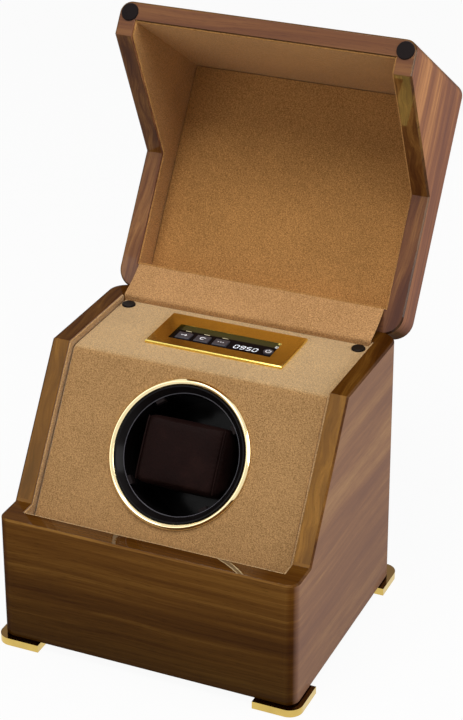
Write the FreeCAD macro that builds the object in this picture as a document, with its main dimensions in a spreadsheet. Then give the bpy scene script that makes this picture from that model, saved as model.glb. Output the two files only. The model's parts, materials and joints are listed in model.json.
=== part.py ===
import FreeCAD, Part
import math
import os
import Sketcher

# Watch winder box: a walnut case with a slanted front, a hinged lid, a turning cup and its geared drive.
# Design axes: X to the right, Y to the back from the front face of the case, Z up from the floor.
# The lid is drawn closed and stands open at rest. Parts of the drive are drawn on the cup's own axis.

SIZES = {
    # walnut case
    "case_width": 180.0,
    "case_depth": 154.5,
    "wall": 10.5,
    "back_wall": 14.5,
    "front_height": 77.0,
    "back_height": 156.0,
    "front_land": 21.0,
    "slope_end": 72.5,
    "corner_radius": 7.0,
    "back_radius": 12.0,
    "edge_bevel": 1.0,
    "origin_back": 127.2,
    # lid
    "lid_height": 28.0,
    "lid_top": 8.0,
    "lid_edge_radius": 7.0,
    "parting_gap": 1.0,
    "lid_opening": 122.8,
    "stop_clearance": 1.0,
    "lid_lining": 2.0,
    "lining_setback": 1.5,
    "bumper_radius": 5.3,
    "bumper_height": 0.8,
    "bumper_inset": 6.5,
    # hinges
    "hinge_inset": 1.5,
    "hinge_spacing": 100.0,
    "hinge_width": 30.0,
    "hinge_reach": 11.0,
    "leaf_thickness": 1.0,
    "leaf_clearance": 0.2,
    "knuckle_radius": 2.4,
    "knuckle_length": 9.6,
    "knuckle_gap": 0.3,
    "knuckle_clearance": 0.4,
    "pin_radius": 1.2,
    "pin_clearance": 0.04,
    "hinge_screw_radius": 1.0,
    "hinge_screw_length": 7.0,
    "hinge_screw_spacing": 20.0,
    # cloth strip over the hinges
    "cloth_inset": 1.4,
    "cloth_thickness": 0.8,
    "cloth_lift": 0.3,
    # feet and bottom
    "foot_height": 4.5,
    "foot_size": 27.0,
    "foot_overhang": 3.0,
    "foot_radius": 8.0,
    "foot_screw_margin": 2.0,
    "bottom_thickness": 4.0,
    "bottom_rebate": 3.0,
    "bottom_clearance": 0.3,
    "wood_screw_radius": 1.5,
    "wood_screw_head": 3.0,
    "wood_screw_length": 12.0,
    "screw_clearance": 0.1,
    # fabric panel inside the case
    "fascia_recess": 3.2,
    "fascia_thickness": 3.0,
    "fascia_clearance": 0.4,
    "fascia_bend": 6.0,
    "liner_thickness": 1.2,
    "lining_groove": 0.5,
    "fascia_edge": 0.8,
    "liner_drop": 0.8,
    "rail_size": 9.0,
    "button_radius": 4.0,
    "button_height": 1.2,
    "button_inset": 7.2,
    "button_setback": 6.0,
    # trim ring and cup
    "ring_centre": 44.8,
    "ring_radius": 42.2,
    "ring_width": 3.3,
    "ring_height": 2.4,
    "ring_bevel": 1.0,
    "ring_seat": 1.0,
    "cup_gap": 0.5,
    "cup_lip": 0.8,
    "cup_wall": 4.0,
    "cup_depth": 44.0,
    "cup_base": 4.0,
    "cup_rim_drop": 3.0,
    "nub_size": 5.0,
    "nub_depth": 2.2,
    "nub_angle": 36.0,
    "cushion_end_gap": 4.9,
    "cushion_strap_gap": 12.4,
    "cushion_corner_gap": 1.7,
    "cushion_crown": 2.0,
    "cushion_clearance": 0.5,
    "cushion_bevel": 6.0,
    # bridge and drive
    "bridge_sheet": 2.0,
    "bridge_room": 3.6,
    "bridge_flange": 13.0,
    "bridge_margin_below": 2.25,
    "bridge_margin_above": 7.0,
    "shaft_radius": 3.0,
    "shaft_seat": 3.0,
    "shaft_head": 4.6,
    "shaft_head_length": 2.0,
    "running_clearance": 0.04,
    "end_play": 0.3,
    "bush_wall": 2.0,
    "bush_length": 11.0,
    "bush_proud": 0.6,
    "tooth_module": 1.125,
    "gear_teeth": 48.0,
    "pinion_teeth": 12.0,
    "pressure_angle": 25.0,
    "addendum": 0.92,
    "dedendum": 1.25,
    "backlash": 0.16,
    "gear_width": 5.0,
    "gear_gap": 1.0,
    "gearbox_width": 24.0,
    "gearbox_depth": 20.0,
    "gearbox_length": 14.0,
    "motor_radius": 9.0,
    "motor_length": 22.0,
    "motor_shaft_radius": 2.0,
    "motor_boss": 3.4,
    "bridge_screw_radius": 1.2,
    "bridge_screw_head": 2.4,
    "bridge_screw_head_height": 1.4,
    "bridge_screw_bite": 2.2,
    # control panel
    "bezel_width": 84.4,
    "bezel_depth": 38.8,
    "bezel_setback": 7.9,
    "bezel_thickness": 1.8,
    "bezel_bevel": 0.5,
    "window_width": 63.0,
    "window_depth": 18.2,
    "window_inset": 8.2,
    "tray_lap": 4.5,
    "tray_depth": 30.0,
    "tray_inset": 4.2,
    "tray_height": 13.5,
    "tray_wall": 1.5,
    "lens_thickness": 1.5,
    "board_thickness": 1.6,
    "board_lift": 2.0,
    "switch_size": 6.0,
    "switch_height": 4.0,
    "key_width": 8.6,
    "key_depth": 7.0,
    "key_bevel": 0.3,
    "key_proud": 0.8,
    "key_flange": 1.2,
    "key_flange_thickness": 1.0,
    "key_clearance": 0.3,
    "key_travel": 0.6,
    "key_stem": 3.0,
    "key_row_inset": 8.0,
    "key_end_inset": 6.5,
    "key_space": 0.5,
    "power_key_inset": 4.1,
    "power_key_radius": 3.0,
    "display_gap": 2.2,
    "display_width": 18.0,
    "display_depth": 12.0,
    # power inlet
    "inlet_height": 26.0,
    "inlet_radius": 4.0,
    "inlet_bore": 2.75,
    "inlet_pin": 1.0,
    "inlet_web": 4.0,
    "inlet_width": 14.0,
    "inlet_body": 11.0,
    "inlet_clearance": 0.4,
    "inlet_depth": 9.0,
}

doc = FreeCAD.newDocument("watch_winder_box")
sheet = doc.addObject("Spreadsheet::Sheet", "sizes")
for row, (alias, value) in enumerate(SIZES.items(), start=1):
    sheet.set(f"A{row}", alias.replace("_", " "))
    sheet.set(f"B{row}", f"{value:g}")
    sheet.setAlias(f"B{row}", alias)
doc.recompute()


class Dim:
    """A size as an expression on the sheet, together with its present value."""

    def __init__(self, text, value):
        self.text = text
        self.value = value

    def __add__(self, other):
        other = as_dim(other)
        return Dim(f"({self.text} + {other.text})", self.value + other.value)

    def __sub__(self, other):
        other = as_dim(other)
        return Dim(f"({self.text} - {other.text})", self.value - other.value)

    def __mul__(self, other):
        other = as_dim(other)
        return Dim(f"({self.text} * {other.text})", self.value * other.value)

    def __truediv__(self, other):
        other = as_dim(other)
        return Dim(f"({self.text} / {other.text})", self.value / other.value)

    def __radd__(self, other):
        return as_dim(other) + self

    def __rsub__(self, other):
        return as_dim(other) - self

    def __rmul__(self, other):
        return as_dim(other) * self

    def __neg__(self):
        return Dim(f"(0 - {self.text})", -self.value)


def as_dim(value):
    """A plain number as a size."""
    if isinstance(value, Dim):
        return value
    return Dim(f"({value:g})", float(value))


def root(size):
    return Dim(f"sqrt({size.text})", math.sqrt(size.value))


def sine(angle):
    return Dim(f"sin({angle.text})", math.sin(math.radians(angle.value)))


def cosine(angle):
    return Dim(f"cos({angle.text})", math.cos(math.radians(angle.value)))


def tangent(angle):
    return sine(angle) / cosine(angle)


class Sizes:
    """Every named size of the sheet."""


s = Sizes()
for alias in SIZES:
    setattr(s, alias, Dim(f"sizes.{alias}", float(getattr(sheet, alias))))

# Levels and lines that several pieces share.
half_width = s.case_width / 2
inner_half = half_width - s.wall
inner_back = s.case_depth - s.back_wall
bottom_level = s.foot_height
front_top = bottom_level + s.front_height
back_top = bottom_level + s.back_height
lid_level = back_top + s.parting_gap + s.lid_height
lid_roof = lid_level - s.lid_top
hinge_y = s.case_depth - s.hinge_inset
hinge_z = back_top + s.parting_gap / 2

slope_run = s.slope_end - s.front_land
slope_rise = back_top - front_top
slope_length = root(slope_run * slope_run + slope_rise * slope_rise)
slope_cos = slope_run / slope_length
slope_sin = slope_rise / slope_length
slope_tan = slope_rise / slope_run
bend_shift = (1 - slope_cos) / slope_sin
slope_angle = Dim(f"atan2({slope_rise.text}; {slope_run.text})",
                  math.degrees(math.atan2(slope_rise.value, slope_run.value)))

relief_angle = s.lid_opening / 2 + s.stop_clearance
fascia_top = back_top - s.fascia_recess
fascia_under = fascia_top - s.fascia_thickness
fascia_back = inner_back - s.fascia_clearance
inlet_level = bottom_level + s.inlet_height
foot_screw_inset = s.wall - s.bottom_rebate - s.foot_screw_margin
button_x = inner_half - s.button_inset
button_y = inner_back - s.button_setback
cup_y = s.front_land + s.ring_centre * slope_cos + s.fascia_recess * slope_sin
cup_z = front_top + s.ring_centre * slope_sin - s.fascia_recess * slope_cos

nodes = {}


def bind(obj, path, size):
    obj.setExpression(path, as_dim(size).text)


def bind_base(obj, x, y, z):
    """Place an object's base point at three sizes."""
    for letter, size in (("x", x), ("y", y), ("z", z)):
        bind(obj, f"Placement.Base.{letter}", size)


def set_turn(obj, axis, angle):
    """Turn an object about an axis through its base point."""
    obj.Placement = FreeCAD.Placement(FreeCAD.Vector(), FreeCAD.Rotation(axis, as_dim(angle).value))
    if isinstance(angle, Dim):
        bind(obj, "Placement.Rotation.Angle", angle)


AXIS_X = FreeCAD.Vector(1, 0, 0)
AXIS_Y = FreeCAD.Vector(0, 1, 0)
AXIS_Z = FreeCAD.Vector(0, 0, 1)


def slope_level(depth, y):
    """Height at y of the slanted face lowered by a depth, measured square to it."""
    return back_top - depth - (s.slope_end + bend_shift * depth - y) * slope_tan


def box(name, low, high):
    """A block between two corners."""
    obj = doc.addObject("Part::Box", name)
    for prop, a, b in zip(("Length", "Width", "Height"), low, high):
        bind(obj, prop, as_dim(b) - a)
    bind_base(obj, *low)
    return obj


def cylinder(name, start, radius, length, along="z"):
    """A round bar from a start point along an axis."""
    obj = doc.addObject("Part::Cylinder", name)
    bind(obj, "Radius", radius)
    bind(obj, "Height", length)
    if along == "x":
        set_turn(obj, AXIS_Y, 90)
    if along == "y":
        set_turn(obj, AXIS_X, -90)
    bind_base(obj, *start)
    return obj


def cone(name, start, radius, end_radius, length, along="z"):
    """A tapered bar from a start point along an axis."""
    obj = doc.addObject("Part::Cone", name)
    bind(obj, "Radius1", radius)
    bind(obj, "Radius2", end_radius)
    bind(obj, "Height", length)
    if along == "y":
        set_turn(obj, AXIS_X, -90)
    bind_base(obj, *start)
    return obj


def stud(name, start, radius, length, along="z"):
    """A twelve-sided bar for a small fastener or its hole."""
    obj = doc.addObject("Part::Prism", name)
    obj.Polygon = 12
    bind(obj, "Circumradius", radius)
    bind(obj, "Height", length)
    if along == "y":
        set_turn(obj, AXIS_X, -90)
    bind_base(obj, *start)
    return obj


def fuse(name, pieces):
    obj = doc.addObject("Part::MultiFuse", name)
    obj.Shapes = pieces
    return obj


def cut(name, base, tools):
    """A base less one or more tools."""
    obj = doc.addObject("Part::Cut", name)
    obj.Base = base
    obj.Tool = tools[0] if len(tools) == 1 else fuse(name + "_tools", tools)
    return obj


def group(name, pieces):
    obj = doc.addObject("Part::Compound", name)
    obj.Links = pieces
    return obj


def new_body(name):
    return doc.addObject("PartDesign::Body", name)


def outline(body, name, role, points, offset=None):
    """A closed outline of straight lines on one of the body's own planes, each corner held by two sizes."""
    sketch = body.newObject("Sketcher::SketchObject", name)
    plane = [p for p in body.Origin.OriginFeatures if p.Role == role][0]
    sketch.AttachmentSupport = [(plane, "")]
    sketch.MapMode = "FlatFace"
    if offset is not None:
        bind(sketch, "AttachmentOffset.Base.z", offset)
    corners = [(as_dim(x), as_dim(y)) for x, y in points]
    spots = [FreeCAD.Vector(x.value, y.value, 0) for x, y in corners]
    count = len(spots)
    for i in range(count):
        sketch.addGeometry(Part.LineSegment(spots[i], spots[(i + 1) % count]), False)
    for i in range(count):
        sketch.addConstraint(Sketcher.Constraint("Coincident", i, 2, (i + 1) % count, 1))
    for i, corner in enumerate(corners):
        for kind, size in zip(("DistanceX", "DistanceY"), corner):
            index = sketch.addConstraint(Sketcher.Constraint(kind, -1, 1, i, 1, size.value))
            bind(sketch, f"Constraints[{index}]", size)
    return sketch


def pad(body, sketch, length, side="Symmetric"):
    feature = body.newObject("PartDesign::Pad", sketch.Name + "_pad")
    feature.Profile = sketch
    feature.SideType = side
    bind(feature, "Length", length)
    doc.recompute()
    return feature


def revolve(body, sketch):
    """A full turn of an outline about the body's own Z axis."""
    feature = body.newObject("PartDesign::Revolution", sketch.Name + "_turn")
    feature.Profile = sketch
    feature.ReferenceAxis = (sketch, ["V_Axis"])
    feature.Angle = 360
    doc.recompute()
    return feature


def edges(shape, test):
    """Names of a shape's edges that pass a test on their middle point and direction."""
    found = []
    for i, edge in enumerate(shape.Edges, start=1):
        middle = edge.valueAt((edge.FirstParameter + edge.LastParameter) / 2)
        ends = edge.Vertexes[-1].Point - edge.Vertexes[0].Point
        if test(middle, ends):
            found.append(f"Edge{i}")
    return found


def soften(body, radius, test, kind="Fillet"):
    """Round or bevel the edges of the body's last feature that pass a test."""
    base = body.Tip
    feature = body.newObject("PartDesign::" + kind, f"{body.Name}_{kind.lower()}_{len(body.Group)}")
    feature.Base = (base, edges(base.Shape, test))
    bind(feature, "Radius" if kind == "Fillet" else "Size", radius)
    doc.recompute()
    return feature


def near(a, b):
    """Whether two lengths agree to a thousandth of a millimetre."""
    return abs(a - as_dim(b).value) < 0.001


def settle(obj, label, frame="base"):
    """Name a finished piece and place it: in the case, on the open lid, or on the cup's axis."""
    if obj.TypeId in ("Part::Box", "Part::Cylinder", "Part::Cone", "Part::Feature"):
        obj = group(label + "_piece", [obj])
    obj.Label = label
    if frame == "base":
        bind_base(obj, 0, -s.origin_back, 0)
    if frame == "lid":
        set_turn(obj, AXIS_X, -s.lid_opening)
        turn_cos = cosine(s.lid_opening)
        turn_sin = sine(s.lid_opening)
        y = hinge_y - hinge_y * turn_cos - hinge_z * turn_sin
        z = hinge_z + hinge_y * turn_sin - hinge_z * turn_cos
        bind_base(obj, 0, y - s.origin_back, z)
    if frame == "cup":
        set_turn(obj, AXIS_X, slope_angle)
        bind_base(obj, 0, cup_y - s.origin_back, cup_z)
    nodes[label] = obj
    return obj


def opened(y, z):
    """Where a point of the closed lid lies when the lid stands open."""
    turn_cos = cosine(s.lid_opening)
    turn_sin = sine(s.lid_opening)
    away_y = y - hinge_y
    away_z = z - hinge_z
    return hinge_y + away_y * turn_cos + away_z * turn_sin, hinge_z - away_y * turn_sin + away_z * turn_cos


# Walnut shells

def upright(middle, ends):
    """Whether an edge stands upright."""
    return abs(ends.x) < 0.001 and abs(ends.y) < 0.001 and abs(ends.z) > 1


def round_corners(body):
    """Round the four upright corners of the case or lid, the two at the back more widely."""
    middle = s.case_depth.value / 2
    soften(body, s.corner_radius, lambda m, e: upright(m, e) and m.y < middle)
    soften(body, s.back_radius, lambda m, e: upright(m, e) and m.y > middle)


def parting_edge(lift):
    """A test for the outer edges of the slanted parting line, lifted by a gap."""
    land = (front_top + lift).value
    ledge = (back_top + lift).value
    land_end = (s.front_land - bend_shift * lift).value
    ledge_start = (s.slope_end - bend_shift * lift).value

    def test(middle, ends):
        on_front = middle.y < s.corner_radius.value and abs(middle.z - land) < 0.001
        level = land if middle.y < land_end else ledge
        if land_end < middle.y < ledge_start:
            level = land + (middle.y - land_end) * slope_tan.value
        on_side = near(abs(middle.x), half_width) and abs(middle.z - level) < 0.001
        on_arc = abs(middle.x) > (half_width - s.back_radius).value and abs(middle.z - ledge) < 0.001
        on_back = on_arc and middle.y > (s.case_depth - s.back_radius).value
        return on_front or on_back or (on_side and abs(ends.y) > 0.001)

    return test


def hinge_places():
    """Centre of each hinge along X."""
    return (("left", -s.hinge_spacing / 2), ("right", s.hinge_spacing / 2))


def hinge_recesses(name, leaf_low, leaf_high):
    """Cuts for two hinges: a bed for each leaf and room for its knuckles."""
    tools = []
    for side, centre in hinge_places():
        reach = s.hinge_width / 2 + s.leaf_clearance
        tools.append(box(f"{name}_bed_{side}",
                         (centre - reach, hinge_y - s.hinge_reach - s.leaf_clearance, leaf_low),
                         (centre + reach, hinge_y, leaf_high)))
        tools.append(cylinder(f"{name}_room_{side}", (centre - reach, hinge_y, hinge_z),
                              s.knuckle_radius + s.knuckle_clearance, reach * 2, along="x"))
    return tools


def hinge_screw_spots():
    """Places of the hinge screws along X, and their distance from the back."""
    for side, centre in hinge_places():
        for sign in (-1, 1):
            yield f"{side}_{sign + 1}", centre + s.hinge_screw_spacing * sign / 2, hinge_y - s.hinge_reach / 2 - 1


def make_base_case():
    """Four walls with a slanted front, bevelled at the back so that the lid stops on them."""
    body = new_body("base_blank")
    relief_y = hinge_y + s.parting_gap / 2 / tangent(relief_angle)
    relief_z = hinge_z - s.hinge_inset * tangent(relief_angle)
    side = outline(body, "base_side", "YZ_Plane", [
        (0, bottom_level), (0, front_top), (s.front_land, front_top), (s.slope_end, back_top),
        (relief_y, back_top), (s.case_depth, relief_z), (s.case_depth, bottom_level)])
    pad(body, side, s.case_width)
    round_corners(body)
    soften(body, s.edge_bevel, parting_edge(as_dim(0)), "Chamfer")
    soften(body, s.edge_bevel, lambda m, e: near(m.z, bottom_level), "Chamfer")
    rebate_half = inner_half + s.bottom_rebate
    margin = s.wall
    tools = [
        box("case_room", (-inner_half, s.wall, 0), (inner_half, inner_back, back_top + margin)),
        box("case_rebate", (-rebate_half, s.wall - s.bottom_rebate, 0),
            (rebate_half, inner_back + s.bottom_rebate, bottom_level + s.bottom_thickness)),
        cylinder("inlet_hole", (0, inner_back, inlet_level), s.inlet_radius + s.screw_clearance,
                 s.back_wall + margin, along="y"),
        box("inlet_room", (-s.inlet_width / 2 - s.inlet_clearance, inner_back - 1,
                           inlet_level - s.inlet_body / 2 - s.inlet_clearance),
            (s.inlet_width / 2 + s.inlet_clearance, s.case_depth - s.inlet_web,
             inlet_level + s.inlet_body / 2 + s.inlet_clearance)),
    ]
    tools += hinge_recesses("base_hinge", back_top - s.leaf_thickness, back_top + margin)
    for name, x, y in hinge_screw_spots():
        tools.append(stud("base_pilot_" + name, (x, y, back_top - s.hinge_screw_length),
                          s.hinge_screw_radius + s.screw_clearance, s.hinge_screw_length))
    for name, x, y in foot_screw_spots():
        tools.append(stud("foot_pilot_" + name, (x, y, 0), s.wood_screw_radius + s.screw_clearance,
                          s.foot_height + s.wood_screw_length))
    for name, x, y in bottom_screw_spots():
        tools.append(stud("bottom_pilot_" + name, (x, y, 0), s.wood_screw_radius + s.screw_clearance,
                          bottom_level + s.wood_screw_length))
    settle(cut("base_case_cut", body, tools), "base_case")


def make_lid_shell():
    """A lid whose walls follow the slanted parting line, with rounded top edges."""
    body = new_body("lid_blank")
    gap = s.parting_gap
    relief_y = hinge_y + gap / 2 / tangent(relief_angle)
    relief_z = hinge_z + s.hinge_inset * tangent(relief_angle)
    side = outline(body, "lid_side", "YZ_Plane", [
        (0, front_top + gap), (0, lid_level), (s.case_depth, lid_level), (s.case_depth, relief_z),
        (relief_y, back_top + gap), (s.slope_end - bend_shift * gap, back_top + gap),
        (s.front_land - bend_shift * gap, front_top + gap)])
    pad(body, side, s.case_width)
    round_corners(body)
    soften(body, s.lid_edge_radius, lambda m, e: near(m.z, lid_level))
    soften(body, s.edge_bevel, parting_edge(gap), "Chamfer")
    tools = [box("lid_room", (-inner_half, s.wall, 0), (inner_half, inner_back, lid_roof))]
    tools += hinge_recesses("lid_hinge", 0, back_top + gap + s.leaf_thickness)
    for name, x, y in hinge_screw_spots():
        tools.append(stud("lid_pilot_" + name, (x, y, back_top + gap),
                          s.hinge_screw_radius + s.screw_clearance, s.hinge_screw_length))
    settle(cut("lid_shell_cut", body, tools), "lid_shell", "lid")


def make_lid_linings():
    """Fabric boards on the roof and the four walls of the lid, with a narrow groove round the roof board."""
    under = lid_roof - s.lid_lining
    rim = s.parting_gap + s.lining_setback
    thin = s.liner_thickness
    fit = thin + s.lining_groove
    settle(box("roof_board", (fit - inner_half, s.wall + fit, under), (inner_half - fit, inner_back - fit, lid_roof)),
           "lid_top_lining", "lid")
    settle(box("front_board", (thin - inner_half, s.wall, front_top + rim),
               (inner_half - thin, s.wall + thin, lid_roof)), "lid_front_lining", "lid")
    settle(box("back_board", (thin - inner_half, inner_back - thin, back_top + rim),
               (inner_half - thin, inner_back, lid_roof)), "lid_back_lining", "lid")
    for side, low in (("left", -inner_half), ("right", inner_half - thin)):
        body = new_body(f"lid_{side}_board")
        sketch = outline(body, f"lid_{side}_sheet", "YZ_Plane", [
            (s.wall, front_top + rim), (s.front_land - bend_shift * rim, front_top + rim),
            (s.slope_end - bend_shift * rim, back_top + rim), (inner_back, back_top + rim),
            (inner_back, lid_roof), (s.wall, lid_roof)], offset=low)
        pad(body, sketch, thin, "One side")
        settle(body, f"lid_{side}_lining", "lid")


def make_bumpers():
    """Soft discs under the front corners of the lid."""
    discs = []
    level = front_top + s.parting_gap - s.bumper_height
    for sign in (-1, 1):
        x = (half_width - s.bumper_inset) * sign
        discs.append(cone(f"bumper_{sign + 1}", (x, s.bumper_inset, level),
                          s.bumper_radius - s.bumper_height / 2, s.bumper_radius, s.bumper_height))
    settle(group("bumper_pair", discs), "lid_bumpers", "lid")


# Hinges

def make_hinges():
    """Two butt hinges: three knuckles on a pin, one leaf let into the case and one into the lid."""
    pins = []
    for side, centre in hinge_places():
        half = s.hinge_width / 2
        step = s.knuckle_length + s.knuckle_gap
        root_y = hinge_y - s.knuckle_radius - s.knuckle_clearance
        pieces = {
            "base": [(centre - half, s.knuckle_length), (centre + half - s.knuckle_length, s.knuckle_length)],
            "lid": [(centre - half + step, s.hinge_width - step * 2)],
        }
        levels = {"base": back_top - s.leaf_thickness, "lid": back_top + s.parting_gap}
        for owner, knuckles in pieces.items():
            name = f"hinge_{owner}_leaf_{side}"
            low = levels[owner]
            high = low + s.leaf_thickness
            parts = [box(name + "_plate", (centre - half, hinge_y - s.hinge_reach, low), (centre + half, root_y, high))]
            bore = s.pin_radius + s.pin_clearance
            for i, (start, length) in enumerate(knuckles):
                parts.append(box(f"{name}_strap_{i}", (start, root_y, low), (start + length, hinge_y, high)))
                parts.append(cylinder(f"{name}_knuckle_{i}", (start, hinge_y, hinge_z), s.knuckle_radius, length,
                                      along="x"))
            tools = [cylinder(name + "_bore", (centre - half - 1, hinge_y, hinge_z), bore, s.hinge_width + 2,
                              along="x")]
            for spot, x, y in hinge_screw_spots():
                if spot.startswith(side):
                    tools.append(stud(f"{name}_hole_{spot}", (x, y, low - 1),
                                      s.hinge_screw_radius + s.screw_clearance, s.leaf_thickness + 2))
            settle(cut(name + "_cut", fuse(name + "_body", parts), tools), name, owner)
        pins.append(cylinder(f"pin_{side}", (centre - half, hinge_y, hinge_z), s.pin_radius, s.hinge_width, along="x"))
    settle(group("pin_pair", pins), "hinge_pins")
    for owner, head_level, point in (("base", back_top, -1), ("lid", back_top + s.parting_gap, 1)):
        screws = []
        for spot, x, y in hinge_screw_spots():
            low = head_level - s.hinge_screw_length if point < 0 else head_level
            screws.append(stud(f"{owner}_hinge_screw_{spot}", (x, y, low), s.hinge_screw_radius,
                               s.hinge_screw_length))
        settle(group(owner + "_hinge_screw_set", screws), f"hinge_{owner}_screws", owner)


def make_hinge_cloth():
    """A fabric strip from the panel up the case's back wall and over to the back wall of the open lid."""
    body = new_body("cloth_strip")
    low = (inner_back, back_top + s.cloth_lift)
    high = opened(inner_back, back_top + s.parting_gap - s.cloth_lift)
    run = high[0] - low[0]
    rise = high[1] - low[1]
    span = root(run * run + rise * rise)
    out_y = -s.cloth_thickness * rise / span
    out_z = s.cloth_thickness * run / span
    face = inner_back - s.cloth_thickness
    corner = low[1] + out_z - (s.cloth_thickness + out_y) * rise / run
    sketch = outline(body, "cloth_section", "YZ_Plane", [
        (inner_back, fascia_top), low, high, (high[0] + out_y, high[1] + out_z), (face, corner),
        (face, fascia_top)])
    pad(body, sketch, (inner_half - s.cloth_inset) * 2)
    settle(body, "hinge_cloth")


# Feet and bottom

def corner_signs():
    """The four corners of the case, by name and by the sign of X and of the way out along Y."""
    return (("front_left", -1, -1), ("front_right", 1, -1), ("back_left", -1, 1), ("back_right", 1, 1))


def corner_spot(sign_x, sign_y, inset):
    """A point inset from both sides of a corner of the case."""
    x = (half_width - inset) * sign_x
    y = s.case_depth / 2 + (s.case_depth / 2 - inset) * sign_y
    return x, y


def foot_screw_spots():
    for name, sign_x, sign_y in corner_signs():
        x, y = corner_spot(sign_x, sign_y, foot_screw_inset)
        yield name, x, y


def bottom_screw_spots():
    """Screws in the edge of the bottom panel, between the feet."""
    for sign in (-1, 1):
        for side in (-1, 1):
            x = (inner_half + s.bottom_rebate / 2) * sign
            yield f"{sign + 1}_{side + 1}", x, s.case_depth / 2 + s.foot_size * side


def make_feet():
    """A polished square plate under each corner, rounded where it stands out of the case."""
    turns = {"front_left": 180, "front_right": 270, "back_left": 90, "back_right": 0}
    screws = []
    for name, sign_x, sign_y in corner_signs():
        body = new_body("foot_blank_" + name)
        half = s.foot_size / 2
        square = outline(body, "foot_plan_" + name, "XY_Plane", [
            (-half, -half), (half, -half), (half, half), (-half, half)])
        pad(body, square, s.foot_height, "One side")
        soften(body, s.foot_radius, lambda m, e: upright(m, e) and m.x > 0 and m.y > 0)
        set_turn(body, AXIS_Z, turns[name])
        bind_base(body, *corner_spot(sign_x, sign_y, half - s.foot_overhang), 0)
        x, y = corner_spot(sign_x, sign_y, foot_screw_inset)
        room = s.screw_clearance
        sink = s.wood_screw_head - s.wood_screw_radius
        hole = stud("foot_hole_" + name, (x, y, -1), s.wood_screw_radius + room, s.foot_height + 2)
        seat = stud("foot_seat_" + name, (x, y, -1), s.wood_screw_head + room, sink + 1)
        settle(cut("foot_cut_" + name, body, [hole, seat]), "foot_" + name)
        head = stud("foot_screw_head_" + name, (x, y, room), s.wood_screw_head, sink - room)
        shank = stud("foot_screw_shank_" + name, (x, y, room), s.wood_screw_radius,
                     s.foot_height + s.wood_screw_length - room * 2)
        screws.append(fuse("foot_screw_" + name, [head, shank]))
    settle(group("foot_screw_set", screws), "foot_screws")


def make_bottom():
    """The bottom panel, let into the walls from below, with its sunk screws."""
    reach = inner_half + s.bottom_rebate - s.bottom_clearance
    front = s.wall - s.bottom_rebate + s.bottom_clearance
    back = inner_back + s.bottom_rebate - s.bottom_clearance
    top = bottom_level + s.bottom_thickness
    panel = box("bottom_sheet", (-reach, front, bottom_level), (reach, back, top))
    holes = []
    screws = []
    for name, x, y in bottom_screw_spots():
        holes.append(stud("bottom_hole_" + name, (x, y, 0), s.wood_screw_radius + s.screw_clearance, top + 1))
        screws.append(stud("bottom_screw_" + name, (x, y, bottom_level), s.wood_screw_radius,
                           s.wood_screw_length - s.screw_clearance))
    settle(cut("bottom_cut", panel, holes), "bottom_panel")
    settle(group("bottom_screw_set", screws), "bottom_screws")


# Fabric panel

def on_cup_axis(obj, x, y, z):
    """Put a tool that is drawn along Z onto the cup's axis, in design axes."""
    set_turn(obj, AXIS_X, slope_angle)
    bind_base(obj, x, cup_y + y * slope_cos - z * slope_sin, cup_z + y * slope_sin + z * slope_cos)
    return obj


def on_fascia_edge(m, half):
    """Whether a point lies on the upper edge of the board's left or right end."""
    low = min(fascia_top.value, slope_level(s.fascia_recess, as_dim(m.y)).value)
    return near(abs(m.x), half) and m.z > low - s.fascia_thickness.value / 2


def make_fascia():
    """One bent board under fabric: a ledge for the control panel and a slope for the cup."""
    body = new_body("fascia_blank")
    front = s.wall + s.fascia_clearance
    deep = s.fascia_recess + s.fascia_thickness
    side = outline(body, "fascia_side", "YZ_Plane", [
        (fascia_back, fascia_top), (s.slope_end + bend_shift * s.fascia_recess, fascia_top),
        (front, slope_level(s.fascia_recess, front)), (front, slope_level(deep, front)),
        (s.slope_end + bend_shift * deep, fascia_under), (fascia_back, fascia_under)])
    half = inner_half - s.liner_thickness - s.lining_groove
    pad(body, side, half * 2)
    bend = s.slope_end + bend_shift * s.fascia_recess
    soften(body, s.fascia_bend, lambda m, e: near(m.y, bend) and near(m.z, fascia_top))
    soften(body, s.fascia_edge, lambda m, e: on_fascia_edge(m, half), "Chamfer")
    fit = s.fascia_clearance
    tools = [
        on_cup_axis(cylinder("fascia_hole", (0, 0, 0), ring_inner + s.ring_seat, s.fascia_thickness * 4),
                    0, 0, -s.fascia_thickness * 2),
        box("fascia_window", (-tray_width / 2 - fit, tray_front - fit, fascia_under - 1),
            (tray_width / 2 + fit, tray_front + s.tray_depth + fit, fascia_top + 1)),
    ]
    for sign in (-1, 1):
        tools.append(stud(f"fascia_screw_hole_{sign + 1}",
                          (button_x * sign, button_y, fascia_under - 1),
                          s.wood_screw_radius + s.screw_clearance, s.fascia_thickness + 2))
    for name, x, y in bridge_screw_spots():
        tools.append(on_cup_axis(stud("fascia_bridge_hole_" + name, (0, 0, 0),
                                      s.bridge_screw_radius + s.screw_clearance,
                                      s.bridge_screw_bite + s.screw_clearance + 1),
                                 x, y, -s.fascia_thickness - 1))
    settle(cut("fascia_cut", body, tools), "fascia_board")


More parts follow.
